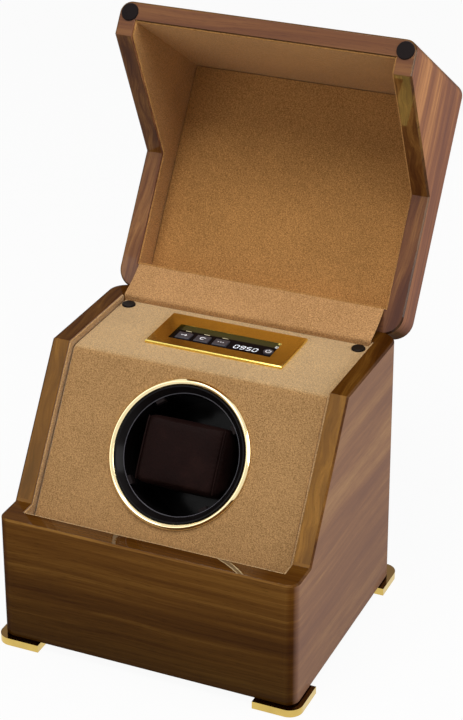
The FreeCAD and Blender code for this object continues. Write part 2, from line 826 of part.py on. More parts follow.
def make_liners():
    """Fabric strips on the inner faces of the walls, from just under the wood edge down beside the panel."""
    drop = s.liner_drop
    deep = s.fascia_recess + s.fascia_thickness
    front = s.wall + s.fascia_clearance
    for side, low in (("left", -inner_half), ("right", inner_half - s.liner_thickness)):
        body = new_body(f"{side}_liner_strip")
        sketch = outline(body, f"{side}_liner_side", "YZ_Plane", [
            (front, front_top - drop), (s.front_land + bend_shift * drop, front_top - drop),
            (s.slope_end + bend_shift * drop, back_top - drop), (fascia_back, back_top - drop),
            (fascia_back, fascia_under), (s.slope_end + bend_shift * deep, fascia_under),
            (front, slope_level(deep, front))], offset=low)
        pad(body, sketch, s.liner_thickness, "One side")
        settle(body, f"{side}_liner")
    face = s.wall + s.liner_thickness
    reach = inner_half - s.liner_thickness - s.fascia_clearance
    low = slope_level(s.fascia_recess, face) + s.fascia_clearance
    settle(box("front_liner_strip", (-reach, s.wall, low), (reach, face, front_top - drop)), "front_liner")


def make_rails():
    """Wooden rails on the side walls that carry the bent board, and the two screws with soft caps."""
    top = s.fascia_recess + s.fascia_thickness
    deep = top + s.rail_size
    front = s.wall + s.fascia_clearance
    for side, low in (("left", -inner_half), ("right", inner_half - s.rail_size)):
        body = new_body(f"{side}_rail_bar")
        sketch = outline(body, f"{side}_rail_side", "YZ_Plane", [
            (fascia_back, back_top - top), (s.slope_end + bend_shift * top, back_top - top),
            (front, slope_level(top, front)), (front, slope_level(deep, front)),
            (s.slope_end + bend_shift * deep, back_top - deep), (fascia_back, back_top - deep)], offset=low)
        pad(body, sketch, s.rail_size, "One side")
        sign = -1 if side == "left" else 1
        pilot = stud(f"{side}_rail_pilot", (button_x * sign, button_y, back_top - deep - 1),
                     s.wood_screw_radius + s.screw_clearance, s.rail_size + 2)
        settle(cut(f"{side}_rail_cut", body, [pilot]), f"{side}_rail")
    screws = []
    for sign in (-1, 1):
        x = button_x * sign
        body = new_body(f"cap_blank_{sign + 1}")
        half = outline(body, f"cap_profile_{sign + 1}", "XZ_Plane", [
            (0, 0), (s.button_radius, 0), (s.button_radius, s.button_height), (0, s.button_height)])
        revolve(body, half)
        soften(body, s.button_height / 3, lambda m, e: near(m.z, s.button_height), "Chamfer")
        bind_base(body, x, button_y, fascia_top)
        shank = stud(f"cap_shank_{sign + 1}", (x, button_y, fascia_under - s.rail_size + 1),
                     s.wood_screw_radius, s.fascia_thickness + s.rail_size)
        screws.append(fuse(f"cap_screw_{sign + 1}", [body, shank]))
    settle(group("cap_screw_pair", screws), "panel_screws")


# Cup, ring and drive, drawn on the cup's axis: Z out of the slope, zero at the fabric

ring_inner = s.ring_radius - s.ring_width
lip_radius = ring_inner - s.cup_gap
cup_inside = lip_radius - s.cup_wall
cup_under = s.cup_depth + s.cup_base
shaft_top = cup_under - s.shaft_seat
gear_front = cup_under + s.gear_gap
gear_back = gear_front + s.gear_width
bush_front = gear_back + s.end_play
bridge_front = bush_front + s.bush_proud
bridge_back = bridge_front + s.bridge_sheet
bush_back = bush_front + s.bush_length
gear_radius = s.tooth_module * s.gear_teeth / 2
pinion_radius = s.tooth_module * s.pinion_teeth / 2
axle_distance = gear_radius + pinion_radius
bridge_inside = lip_radius + s.bridge_room
bridge_below = axle_distance + s.gearbox_depth / 2 + s.bridge_margin_below
bridge_above = s.shaft_radius + s.bush_wall + s.bridge_margin_above


def bridge_screw_spots():
    """Four small screws through the flanges of the bridge into the board."""
    x = bridge_inside + s.bridge_sheet + s.bridge_flange / 2
    inset = s.bridge_flange / 2
    for sign in (-1, 1):
        yield f"low_{sign + 1}", x * sign, inset - bridge_below
        yield f"high_{sign + 1}", x * sign, bridge_above - inset


def make_trim_ring():
    """A polished ring with a bevelled face round the cup's hole."""
    body = new_body("ring_blank")
    outer = s.ring_radius
    high = s.ring_height
    bevel = s.ring_bevel
    half = outline(body, "ring_profile", "XZ_Plane", [
        (ring_inner, 0), (outer, 0), (outer, high - bevel), (outer - bevel, high), (ring_inner + bevel, high),
        (ring_inner, high - bevel)])
    revolve(body, half)
    settle(body, "trim_ring", "cup")


def make_cup():
    """A deep cup with a wide bevelled mouth and a thick floor that takes the shaft, and four nubs in its wall."""
    body = new_body("cup_blank")
    inside = cup_inside
    half = outline(body, "cup_profile", "XZ_Plane", [
        (0, -s.cup_depth), (inside, -s.cup_depth), (inside, -s.cup_rim_drop), (lip_radius - s.cup_lip, s.cup_lip),
        (lip_radius, s.cup_lip), (lip_radius, -cup_under), (s.shaft_radius, -cup_under),
        (s.shaft_radius, -shaft_top), (0, -shaft_top)])
    revolve(body, half)
    settle(body, "rotor_cup", "cup")
    nubs = []
    low = inside - s.nub_depth
    high = inside + s.cup_wall / 3
    half_size = s.nub_size / 2
    for turn in range(4):
        nub = new_body(f"nub_blank_{turn}")
        plan = outline(nub, f"nub_plan_{turn}", "XY_Plane", [
            (low, -half_size), (high, -half_size), (high, half_size), (low, half_size)],
            offset=-s.cup_rim_drop - s.nub_size)
        pad(nub, plan, s.nub_size, "One side")
        set_turn(nub, AXIS_Z, s.nub_angle + 90 * turn)
        nubs.append(nub)
    settle(group("nub_set", nubs), "cup_nubs", "cup")


def make_cushion():
    """A plain block in the shape of the watch cushion, with its corners cut to go into the cup."""
    half_x = cup_inside - s.cushion_end_gap
    half_y = cup_inside - s.cushion_strap_gap
    corner = cup_inside - s.nub_depth - s.cushion_corner_gap
    side = root(corner * corner - half_x * half_x)
    end = root(corner * corner - half_y * half_y)
    low = s.cushion_clearance - s.cup_depth
    body = new_body("cushion_block")
    plan = outline(body, "cushion_plan", "XY_Plane", [
        (half_x, -side), (half_x, side), (end, half_y), (-end, half_y), (-half_x, side), (-half_x, -side),
        (-end, -half_y), (end, -half_y)], offset=low)
    pad(body, plan, s.cushion_crown - low, "One side")
    soften(body, s.cushion_bevel, lambda m, e: near(m.z, s.cushion_crown), "Chamfer")
    settle(body, "watch_cushion", "cup")


def make_bridge():
    """A bent metal bridge under the board that carries the bearing and the motor behind the cup."""
    body = new_body("bridge_blank")
    inside = bridge_inside
    outside = inside + s.bridge_sheet
    far = outside + s.bridge_flange
    top = -s.fascia_thickness
    under = top - s.bridge_sheet
    section = outline(body, "bridge_section", "XZ_Plane", [
        (-far, top), (-inside, top), (-inside, -bridge_front), (inside, -bridge_front), (inside, top), (far, top),
        (far, under), (outside, under), (outside, -bridge_back), (-outside, -bridge_back), (-outside, under),
        (-far, under)], offset=-bridge_above)
    pad(body, section, bridge_above + bridge_below, "One side")
    tools = [
        cylinder("bridge_bush_hole", (0, 0, -bridge_back - 1), s.shaft_radius + s.bush_wall, s.bridge_sheet + 2),
        cylinder("bridge_boss_hole", (0, -axle_distance, -bridge_back - 1), s.motor_boss + s.screw_clearance,
                 s.bridge_sheet + 2),
    ]
    screws = []
    for name, x, y in bridge_screw_spots():
        tools.append(stud("bridge_hole_" + name, (x, y, under - 1), s.bridge_screw_radius + s.screw_clearance,
                          s.bridge_sheet + 2))
        head = stud("bridge_head_" + name, (x, y, under - s.bridge_screw_head_height), s.bridge_screw_head,
                    s.bridge_screw_head_height)
        shank = stud("bridge_shank_" + name, (x, y, under - s.bridge_screw_head_height), s.bridge_screw_radius,
                     s.bridge_screw_head_height + s.bridge_sheet + s.bridge_screw_bite)
        screws.append(fuse("bridge_screw_" + name, [head, shank]))
    settle(cut("bridge_cut", body, tools), "drive_bridge", "cup")
    settle(group("bridge_screw_set", screws), "bridge_screws", "cup")


def make_bush():
    """A plain bearing bush through the bridge."""
    outer = cylinder("bush_out", (0, 0, -bush_back), s.shaft_radius + s.bush_wall - s.pin_clearance, s.bush_length)
    bore = cylinder("bush_in", (0, 0, -bush_back - 1), s.shaft_radius + s.running_clearance, s.bush_length + 2)
    settle(cut("bush_cut", outer, [bore]), "shaft_bush", "cup")


def involute_outline(teeth, phase):
    """The outline of an involute gear, with a tooth centred at the phase angle in degrees."""
    module = s.tooth_module.value
    pressure = math.radians(s.pressure_angle.value)
    pitch = module * teeth / 2
    base = pitch * math.cos(pressure)
    tip = pitch + module * s.addendum.value
    foot = pitch - module * s.dedendum.value
    half_tooth = math.pi / (2 * teeth) - s.backlash.value / (4 * pitch)
    flank = max(base, foot)
    middle = (flank + tip) / 2

    def spread(radius):
        """Half the angle of a tooth at a radius, along the involute of the base circle."""
        at_pitch = math.tan(pressure) - pressure
        angle = math.acos(min(1, base / radius))
        return half_tooth + at_pitch - math.tan(angle) + angle

    def spot(radius, angle):
        return FreeCAD.Vector(radius * math.cos(angle), radius * math.sin(angle), 0)

    parts = []
    for tooth in range(int(teeth)):
        centre = math.radians(phase) + 2 * math.pi * tooth / teeth
        rise = [spot(r, centre - spread(r)) for r in (flank, middle, tip)]
        fall = [spot(r, centre + spread(r)) for r in (tip, middle, flank)]
        foot_in = spot(foot, centre - spread(flank))
        foot_out = spot(foot, centre + spread(flank))
        next_in = spot(foot, centre + 2 * math.pi / teeth - spread(flank))
        if flank > foot:
            parts.append(Part.makeLine(foot_in, rise[0]))
        parts.append(Part.Arc(*rise).toShape())
        parts.append(Part.makeLine(rise[2], fall[0]))
        parts.append(Part.Arc(*fall).toShape())
        if flank > foot:
            parts.append(Part.makeLine(fall[2], foot_out))
        parts.append(Part.makeLine(foot_out, next_in))
    return Part.Wire(parts)


def gear_blank(name, teeth, phase, bore, width):
    """A toothed disc with its bore, standing on its own XY plane."""
    length = FreeCAD.Vector(0, 0, width.value)
    disc = Part.Face(involute_outline(teeth, phase)).extrude(length)
    gear = doc.addObject("Part::Feature", name)
    gear.Shape = disc.cut(Part.makeCylinder(bore.value, length.z))
    return gear


def make_drive():
    """The cup's shaft with its gear, and the pinion on the motor's shaft that turns it."""
    gear = gear_blank("gear_disc", s.gear_teeth.value, -90, s.shaft_radius, s.gear_width)
    bind_base(gear, 0, 0, -gear_back)
    settle(gear, "driven_gear", "cup")
    head_front = bush_back + s.end_play
    head = cylinder("shaft_head", (0, 0, -head_front - s.shaft_head_length), s.shaft_head, s.shaft_head_length)
    bar = cylinder("shaft_bar", (0, 0, -head_front - s.shaft_head_length / 2), s.shaft_radius,
                   head_front + s.shaft_head_length / 2 - shaft_top)
    settle(fuse("shaft_whole", [head, bar]), "rotor_shaft", "cup")
    phase = 90 + 180 / s.pinion_teeth.value
    pinion = gear_blank("pinion_disc", s.pinion_teeth.value, phase, s.motor_shaft_radius, s.gear_width)
    bind_base(pinion, 0, -axle_distance, -gear_back)
    settle(pinion, "pinion_gear", "cup")
    back = bridge_back + s.gearbox_length / 2
    settle(cylinder("motor_axle", (0, -axle_distance, -back), s.motor_shaft_radius, back - gear_front),
           "motor_shaft", "cup")


def make_motor():
    """The gear motor on the back of the bridge: a square gearbox with a round boss, and a can."""
    box_back = bridge_back + s.gearbox_length
    half_x = s.gearbox_width / 2
    half_y = s.gearbox_depth / 2
    case = fuse("gearbox_whole", [
        box("gearbox_case", (-half_x, -axle_distance - half_y, -box_back), (half_x, half_y - axle_distance, -bridge_back)),
        cylinder("gearbox_boss", (0, -axle_distance, -bridge_back - 1), s.motor_boss, s.bridge_sheet + 1),
    ])
    depth = s.gearbox_length / 2 + s.end_play
    bore = cylinder("gearbox_bore", (0, -axle_distance, -bridge_back - depth),
                    s.motor_shaft_radius + s.running_clearance, depth + s.bridge_sheet + 1)
    settle(cut("gearbox_cut", case, [bore]), "motor_gearbox", "cup")
    settle(cylinder("motor_drum", (0, -axle_distance, -box_back - s.motor_length), s.motor_radius, s.motor_length),
           "motor_can", "cup")


# Control panel

bezel_front = inner_back - s.bezel_setback - s.bezel_depth
window_front = bezel_front + s.window_inset
tray_width = s.window_width + s.tray_lap * 2
tray_front = bezel_front + s.tray_inset
key_row = window_front + s.key_row_inset
key_first = s.key_end_inset - s.window_width / 2
key_pitch = s.key_width + s.key_flange * 2 + s.key_space
power_key_place = s.window_width / 2 - s.power_key_inset
display_left = key_first + key_pitch * 2 + s.key_width / 2 + s.display_gap
lens_top = fascia_top
lens_under = lens_top - s.lens_thickness
tray_floor = lens_under - s.tray_height
board_under = tray_floor + s.tray_wall + s.board_lift
board_top = board_under + s.board_thickness
switch_top = board_top + s.switch_height


def key_places():
    """Name and place along X of each push key."""
    names = ("mode_key", "turns_key", "direction_key")
    for i, name in enumerate(names):
        yield name, key_first + key_pitch * i
    yield "power_key", power_key_place


def make_control_panel():
    """A metal bezel over a dark window, in a tray with the circuit board, display and switches."""
    half = s.bezel_width / 2
    back = bezel_front + s.bezel_depth
    body = new_body("bezel_blank")
    plan = outline(body, "bezel_plan", "XY_Plane", [
        (-half, bezel_front), (half, bezel_front), (half, back), (-half, back)], offset=fascia_top)
    pad(body, plan, s.bezel_thickness, "One side")
    soften(body, s.bezel_bevel, lambda m, e: near(m.z, fascia_top + s.bezel_thickness), kind="Chamfer")
    window = box("bezel_window", (-s.window_width / 2, window_front, fascia_top - 1),
                 (s.window_width / 2, window_front + s.window_depth, fascia_top + s.bezel_thickness + 1))
    settle(cut("bezel_cut", body, [window]), "control_bezel")

    tray_half = tray_width / 2
    tray_back = tray_front + s.tray_depth
    lens = box("lens_sheet", (-tray_half, tray_front, lens_under), (tray_half, tray_back, lens_top))
    holes = []
    reach_x = s.key_width / 2 + s.key_clearance
    reach_y = s.key_depth / 2 + s.key_clearance
    for name, x in key_places():
        if name == "power_key":
            holes.append(cylinder("lens_hole_" + name, (x, key_row, lens_under - 1),
                                  s.power_key_radius + s.key_clearance, s.lens_thickness + 2))
        else:
            holes.append(box("lens_hole_" + name, (x - reach_x, key_row - reach_y, lens_under - 1),
                             (x + reach_x, key_row + reach_y, lens_top + 1)))
    settle(cut("lens_cut", lens, holes), "display_lens")

    wall = s.tray_wall
    shell = cut("tray_shell", box("tray_out", (-tray_half, tray_front, tray_floor), (tray_half, tray_back, lens_under)),
                [box("tray_in", (wall - tray_half, tray_front + wall, tray_floor + wall),
                     (tray_half - wall, tray_back - wall, lens_under + 1))])
    posts = [shell]
    for side, low in (("left", wall - tray_half), ("right", tray_half - wall * 3)):
        posts.append(box(f"tray_step_{side}", (low, tray_front + wall, tray_floor + wall / 2),
                         (low + wall * 2, tray_back - wall, board_under)))
    settle(fuse("tray_whole", posts), "control_tray")

    gap = s.fascia_clearance
    settle(box("board_sheet", (wall + gap - tray_half, tray_front + wall + gap, board_under),
               (tray_half - wall - gap, tray_back - wall - gap, board_top)), "control_board")
    middle = window_front + s.window_depth / 2
    settle(box("display_block", (display_left, middle - s.display_depth / 2, board_top),
               (display_left + s.display_width, middle + s.display_depth / 2, lens_under)), "display_module")
    switches = []
    reach = s.switch_size / 2
    for name, x in key_places():
        switches.append(box("switch_" + name, (x - reach, key_row - reach, board_top),
                            (x + reach, key_row + reach, switch_top)))
    settle(group("switch_set", switches), "key_switches")


def make_keys():
    """Push keys in the window, each with a stop flange under it and a stem down to its switch."""
    for name, x in key_places():
        half_x = s.key_width / 2
        half_y = s.key_depth / 2
        low = lens_under - s.key_clearance
        sunk = low - s.key_flange_thickness / 2
        rise = lens_top + s.key_proud - sunk
        reach_x = half_x + s.key_flange
        reach_y = half_y + s.key_flange
        if name == "power_key":
            cap = cylinder(name + "_cap", (x, key_row, sunk), s.power_key_radius, rise)
            reach_x = s.power_key_radius + s.key_flange
            reach_y = reach_x
        else:
            cap = new_body(name + "_cap")
            plan = outline(cap, name + "_plan", "XY_Plane", [
                (x - half_x, key_row - half_y), (x + half_x, key_row - half_y),
                (x + half_x, key_row + half_y), (x - half_x, key_row + half_y)], offset=sunk)
            pad(cap, plan, rise, "One side")
            soften(cap, s.key_bevel, lambda m, e: near(m.z, lens_top + s.key_proud), "Chamfer")
        flange = box(name + "_flange", (x - reach_x, key_row - reach_y, low - s.key_flange_thickness),
                     (x + reach_x, key_row + reach_y, low))
        stem_low = switch_top + s.key_travel + s.key_clearance
        half = s.key_stem / 2
        stem = box(name + "_stem", (x - half, key_row - half, stem_low), (x + half, key_row + half, sunk))
        settle(fuse(name + "_whole", [cap, flange, stem]), name)


def make_inlet():
    """A power socket behind the back wall, with its round mouth in a hole of the wall."""
    face = s.case_depth
    web = face - s.inlet_web
    half = s.inlet_width / 2
    shell = fuse("inlet_shell", [
        box("inlet_block", (-half, web - s.inlet_depth, inlet_level - s.inlet_body / 2),
            (half, web, inlet_level + s.inlet_body / 2)),
        cylinder("inlet_nose", (0, web - 1, inlet_level), s.inlet_radius, s.inlet_web + 1, along="y"),
    ])
    mouth = cylinder("inlet_mouth", (0, web - s.inlet_depth / 2, inlet_level), s.inlet_bore, s.inlet_depth * 2,
                     along="y")
    pin = cylinder("inlet_contact", (0, web - s.inlet_depth / 2 - 1, inlet_level), s.inlet_pin,
                   s.inlet_depth / 2 + s.inlet_web / 2 + 1, along="y")
    settle(fuse("inlet_whole", [cut("inlet_hollow", shell, [mouth]), pin]), "power_inlet")


def write_parts():
    """Check every object and every solid, then write one file for each piece."""
    doc.recompute()
    for obj in doc.Objects:
        if "Invalid" in obj.State or "Error" in obj.State:
            raise RuntimeError(f"{obj.Name} did not build: {obj.State}")
    for label, obj in nodes.items():
        if obj.Shape.isNull() or not obj.Shape.isValid() or not obj.Shape.Solids:
            raise RuntimeError(f"{label} has no valid solid")
    os.makedirs("parts", exist_ok=True)
    for label, obj in nodes.items():
        obj.Shape.exportStep(os.path.join("parts", label + ".step"))
        print(label, len(obj.Shape.Solids), round(obj.Shape.Volume, 2))
    print(len(nodes), "pieces")


make_base_case()
make_bottom()
make_feet()
make_fascia()
make_liners()
make_rails()
make_trim_ring()
make_cup()
make_cushion()
make_bridge()
make_bush()
make_drive()
make_motor()
make_control_panel()
make_keys()
make_inlet()
make_lid_shell()
make_lid_linings()
make_bumpers()
make_hinges()
make_hinge_cloth()
write_parts()
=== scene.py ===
import json
import math
import bmesh
import bpy
import numpy as np
from mathutils import Matrix, Vector


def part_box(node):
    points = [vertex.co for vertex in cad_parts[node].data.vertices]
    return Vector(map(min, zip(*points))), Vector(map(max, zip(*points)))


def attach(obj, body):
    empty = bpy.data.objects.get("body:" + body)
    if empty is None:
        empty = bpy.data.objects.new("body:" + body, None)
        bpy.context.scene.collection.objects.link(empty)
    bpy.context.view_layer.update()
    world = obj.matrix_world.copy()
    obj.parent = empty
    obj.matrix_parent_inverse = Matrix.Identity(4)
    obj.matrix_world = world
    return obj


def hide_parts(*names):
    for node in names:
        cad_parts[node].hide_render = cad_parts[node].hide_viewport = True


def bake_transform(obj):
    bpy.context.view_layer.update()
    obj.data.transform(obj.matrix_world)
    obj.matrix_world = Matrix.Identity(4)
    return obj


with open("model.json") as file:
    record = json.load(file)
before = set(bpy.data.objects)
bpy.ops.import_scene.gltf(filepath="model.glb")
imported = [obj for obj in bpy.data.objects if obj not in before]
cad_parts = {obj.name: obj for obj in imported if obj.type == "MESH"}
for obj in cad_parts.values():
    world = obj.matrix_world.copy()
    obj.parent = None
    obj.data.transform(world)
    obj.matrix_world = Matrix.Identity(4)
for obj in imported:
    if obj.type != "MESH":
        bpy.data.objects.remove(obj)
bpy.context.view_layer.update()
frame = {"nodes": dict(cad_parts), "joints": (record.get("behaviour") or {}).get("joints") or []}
nodes = frame["nodes"]
scene = bpy.context.scene
scene.view_settings.view_transform = "Standard"

joints = {joint["name"]: joint for joint in frame["joints"]}

# The cup's own axes at rest: across, up the slope and out of the slope, from a point on its axis.
outward = Vector(joints["cup_spin"]["axis"])
cup_point = Vector(joints["cup_spin"]["pos_m"])
CUP = Matrix((
    (1, 0, 0, cup_point.x),
    (0, outward.z, outward.y, cup_point.y),
    (0, -outward.y, outward.z, cup_point.z),
    (0, 0, 0, 1)))
# The turn and shift that take a point of the open lid back to where it is with the lid closed.
LID_TURN = math.radians(-joints["lid_hinge"]["range_deg"][0])
hinge = Vector(joints["lid_hinge"]["pos_m"])
CLOSE = Matrix.Translation(hinge) @ Matrix.Rotation(LID_TURN, 4, "X") @ Matrix.Translation(-hinge)

# Lines of the case in metres: its front, the land there, the slope behind the land, and the back rim.
case_low, case_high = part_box("base_case")
FRONT = case_low.y
LAND_HEIGHT = 0.0815
SLOPE_FOOT = FRONT + 0.021
SLOPE_RUN = 0.0515
RIM_HEIGHT = case_high.z


class Paint:
    """A procedural material, built up from nodes by short calls."""

    def __init__(self, name, **sockets):
        self.material = bpy.data.materials.new(name)
        self.material.use_nodes = True
        self.tree = self.material.node_tree
        self.shader = self.tree.nodes["Principled BSDF"]
        for label, value in sockets.items():
            self.feed(label.replace("_", " ").title().replace("Ior", "IOR"), value)

    def put(self, socket, value):
        """Give a socket a link, a colour or a plain value."""
        if isinstance(value, bpy.types.NodeSocket):
            self.tree.links.new(value, socket)
        elif isinstance(value, (tuple, list)) and len(value) == 3 and len(socket.default_value) == 4:
            socket.default_value = (*value, 1)
        else:
            socket.default_value = value

    def feed(self, label, value):
        """Give one socket of the shader a value or a link."""
        self.put(self.shader.inputs[label], value)

    def add(self, kind, inputs=None, output=0, **settings):
        """Add a node and return one of its outputs."""
        node = self.tree.nodes.new("ShaderNode" + kind)
        for label, value in settings.items():
            setattr(node, label, value)
        for label, value in (inputs or {}).items():
            self.put(node.inputs[label], value)
        return node.outputs[output]

    def place(self):
        return self.add("TexCoord", output="Object")

    def facing(self):
        return self.add("TexCoord", output="Normal")

    def split(self, vector):
        """The three parts of a vector."""
        return [self.add("SeparateXYZ", {0: vector}, output=i) for i in range(3)]

    def joined(self, x, y, z):
        """A vector from three parts."""
        return self.add("CombineXYZ", {0: x, 1: y, 2: z})

    def scaled(self, vector, scale, shift=(0, 0, 0), turn=(0, 0, 0)):
        return self.add("Mapping", {"Vector": vector, "Scale": scale, "Location": shift, "Rotation": turn})

    def noise(self, vector, scale=1.0, detail=3.0, roughness=0.5, distortion=0.0):
        return self.add("TexNoise", {"Vector": vector, "Scale": scale, "Detail": detail,
                                     "Roughness": roughness, "Distortion": distortion})

    def calc(self, operation, a, b=0.0):
        return self.add("Math", {0: a, 1: b}, operation=operation)

    def times(self, a, b):
        return self.calc("MULTIPLY", a, b)

    def plus(self, a, b):
        return self.calc("ADD", a, b)

    def minus(self, a, b):
        return self.calc("SUBTRACT", a, b)

    def size_of(self, a):
        return self.calc("ABSOLUTE", a)

    def remap(self, value, low, high, new_low=0.0, new_high=1.0):
        return self.add("MapRange", {"Value": value, "From Min": low, "From Max": high,
                                     "To Min": new_low, "To Max": new_high})

    def ramp(self, value, stops):
        """Colours along a value, from pairs of position and colour."""
        node = self.tree.nodes.new("ShaderNodeValToRGB")
        band = node.color_ramp
        while len(band.elements) < len(stops):
            band.elements.new(0.5)
        for element, (position, color) in zip(band.elements, stops):
            element.position = position
            element.color = (*color, 1)
        self.put(node.inputs["Fac"], value)
        return node.outputs["Color"]

    def mixed(self, share, a, b, mode="MIX"):
        """Two colours or vectors mixed, or one laid over the other by a mode."""
        node = self.tree.nodes.new("ShaderNodeMix")
        node.data_type = "RGBA"
        node.blend_type = mode
        colors = [x for x in node.inputs if x.type == "RGBA"]
        self.put(node.inputs["Factor"], share)
        self.put(colors[0], a)
        self.put(colors[1], b)
        return [x for x in node.outputs if x.type == "RGBA"][0]

    def bump(self, height, strength, distance, normal=None):
        inputs = {"Height": height, "Strength": strength, "Distance": distance}
        if normal:
            inputs["Normal"] = normal
        self.feed("Normal", self.add("Bump", inputs))


def veneer_masks(p, place, facing, rim):
    """How far a point belongs to each kind of face, from its place and facing with the lid closed.

    The rim is 1 where the rims face up and -1 where they face down.
    """
    above_land = LAND_HEIGHT + 0.0015
    wall_line = 0.0793
    land_middle, land_end = 0.060, 0.072
    x, _, z = p.split(place)
    face_x, face_y, face_z = p.split(facing)
    across = p.size_of(face_x)
    up = p.times(face_z, rim)
    edge = p.remap(up, 0.3, 0.5)
    level = p.remap(up, 0.85, 0.95)
    side_rim = p.times(edge, p.calc("GREATER_THAN", p.size_of(x), wall_line))
    low_level = p.times(level, p.calc("LESS_THAN", z, above_land))
    return {
        "side": p.remap(across, 0.68, 0.995),
        "corner": p.minus(p.remap(across, 0.15, 0.5), p.remap(across, 0.93, 0.995)),
        "front": p.remap(face_y, -0.3, -0.9),
        "back": p.calc("GREATER_THAN", face_y, 0.7),
        "edge": edge,
        "level": level,
        "slope": p.minus(p.remap(up, 0.44, 0.50), p.remap(up, 0.60, 0.66)),
        "flat": p.calc("GREATER_THAN", p.size_of(face_z), 0.5),
        "ledge": p.times(side_rim, p.calc("GREATER_THAN", z, above_land)),
        "land": p.times(low_level, p.remap(p.size_of(x), land_middle, land_end, 1.0, 0.0)),
    }


def grain_way(p, place, masks):
    """A point's way along the grain, then two ways across it.

    The grain follows X along the front, Y past a corner and X again round the back. On the side rims it
    climbs at a slight angle to them.
    """
    corner_shift = 0.05
    round_to_back, back_shift = 0.335, 0.0077
    slope_y, slope_z = 0.546, 0.838
    climb_scale, climb_lean, rim_shift = 5.0, 0.10, 0.3
    x, y, z = p.split(place)
    past = p.times(p.calc("SIGN", x), p.minus(y, FRONT))
    round_way = p.joined(p.plus(x, past), z, p.times(past, corner_shift))
    back_way = p.joined(p.minus(round_to_back, x), z, back_shift)
    wall_way = p.mixed(masks["back"], round_way, back_way)
    climb = p.plus(p.times(y, slope_y), p.times(z, slope_z))
    rim_across = p.plus(x, p.times(climb, climb_lean))
    rim_way = p.joined(p.times(climb, climb_scale), rim_across, p.times(x, rim_shift))
    return p.mixed(masks["ledge"], p.mixed(masks["flat"], wall_way, place), rim_way)


def walnut(name, turn, shift, rim, side_tone_and_painted_light, slope_tone_and_painted_light, level_tone_and_painted_light, coats, vivid, rim_dark, painted_shade_fall,
           corner_painted_shade):
    """Lacquered walnut veneer, with painted light and shade on some kinds of face.

    turn, shift: take a point to where it is with the lid closed.
    rim: 1 where the rims face up, -1 where they face down.
    side_tone_and_painted_light, slope_tone_and_painted_light, level_tone_and_painted_light: a gain, a share
    and a colour for that kind of face, partly the veneer's tone and partly painted light, shade and
    reflection.
    coats: added lacquer on the sides, the rims and the front land.
    vivid: added contrast of the figure on the sides, and on the left and right rims.
    rim_dark: how much darker the left rim and the right rim are.
    painted_shade_fall: painted shade, as gains at the foot and near the height of the land, for the front
    and for the sides.
    corner_painted_shade: share of painted shade, a darker tone, on the rounded upright corners.
    """
    base_coat = 0.035
    foot, top = 0.008, 0.076
    p = Paint(name, coat_roughness=0.03, coat_ior=1.9, specular_ior_level=0.0)
    place = p.scaled(p.place(), (1, 1, 1), shift=shift, turn=(turn, 0, 0))
    facing = p.scaled(p.facing(), (1, 1, 1), turn=(turn, 0, 0))
    x, _, z = p.split(place)
    masks = veneer_masks(p, place, facing, rim)
    way = grain_way(p, place, masks)
    # broad figure, bent by a slow drift, then streaks, fibres and pores at their own scales
    drift = p.times(p.noise(p.scaled(way, (4, 7, 7)), detail=2), 0.016)
    bent = p.add("VectorMath", {0: way, 1: p.joined(0.0, drift, drift)}, operation="ADD")
    broad = p.noise(p.scaled(bent, (0.9, 13, 13), shift=(1, 5, 4)), detail=2)
    figure = p.noise(p.scaled(bent, (1.5, 42, 42)), detail=4, roughness=0.6)
    streak = p.noise(p.scaled(bent, (2.4, 210, 210), shift=(3, 1, 2)), detail=5, roughness=0.68)
    fibre = p.noise(p.scaled(bent, (22, 1100, 1100)), detail=2)
    pore = p.noise(p.scaled(way, (130, 2300, 2300)), detail=1)
    tone = p.plus(p.plus(p.times(figure, 0.42), p.times(streak, 0.36)), p.times(broad, 0.22))
    contrast = p.plus(p.times(masks["side"], vivid[0]), p.times(masks["ledge"], vivid[1]))
    tone = p.plus(tone, p.times(p.minus(tone, 0.5), contrast))
    darker = p.remap(p.calc("SIGN", x), -1.0, 1.0, *rim_dark)
    tone = p.minus(tone, p.times(masks["ledge"], darker))
    color = p.ramp(tone, [(0.30, (0.026, 0.0080, 0.0015)), (0.42, (0.075, 0.029, 0.0055)),
                          (0.51, (0.128, 0.056, 0.011)), (0.60, (0.215, 0.108, 0.024)),
                          (0.70, (0.320, 0.172, 0.045))])
    color = p.mixed(p.remap(fibre, 0.35, 0.7, 0.0, 0.30), color, (0.050, 0.017, 0.004))
    color = p.mixed(p.remap(pore, 0.62, 0.72, 0.0, 0.4), color, (0.016, 0.006, 0.002))
    # the tone of each kind of face, partly the veneer's own and partly painted light and shade: a darker
    # front, painted shade towards the foot and on the rounded corners, and lighter, pinker sides and tinted
    # rims for light and reflections on them
    color = p.mixed(p.times(masks["front"], 0.9), color, (0.84, 0.76, 0.55), "MULTIPLY")
    # painted shade: the front and the sides darker towards the foot and lighter near the height of the land
    for kind, gains in zip(("front", "side"), painted_shade_fall):
        color = p.mixed(masks[kind], color, p.remap(z, foot, top, *gains), "MULTIPLY")
    # painted shade: the rounded upright corners turned a darker amber
    color = p.mixed(p.times(masks["corner"], corner_painted_shade), color, (0.68, 0.56, 0.34), "MULTIPLY")
    # painted light, shade and reflection, mixed with the veneer's tone, for the sides, the slopes and the
    # level faces
    for kind, (gain, share, tint) in (("side", side_tone_and_painted_light), ("slope", slope_tone_and_painted_light), ("level", level_tone_and_painted_light)):
        color = p.mixed(masks[kind], color, gain, "MULTIPLY")
        color = p.mixed(p.times(masks[kind], share), color, tint)
    p.feed("Base Color", color)
    p.feed("Roughness", p.remap(streak, 0.3, 0.7, 0.42, 0.6))
    coat = base_coat
    for kind, share in zip(("side", "edge", "land"), coats):
        coat = p.plus(p.times(masks[kind], share), coat)
    p.feed("Coat Weight", coat)
    smooth = p.add("Bevel", {"Radius": 0.0007}, samples=4)
    p.feed("Coat Normal", smooth)
    p.bump(p.plus(p.times(fibre, 0.5), figure), 0.04, 0.0004, smooth)
    return p.material


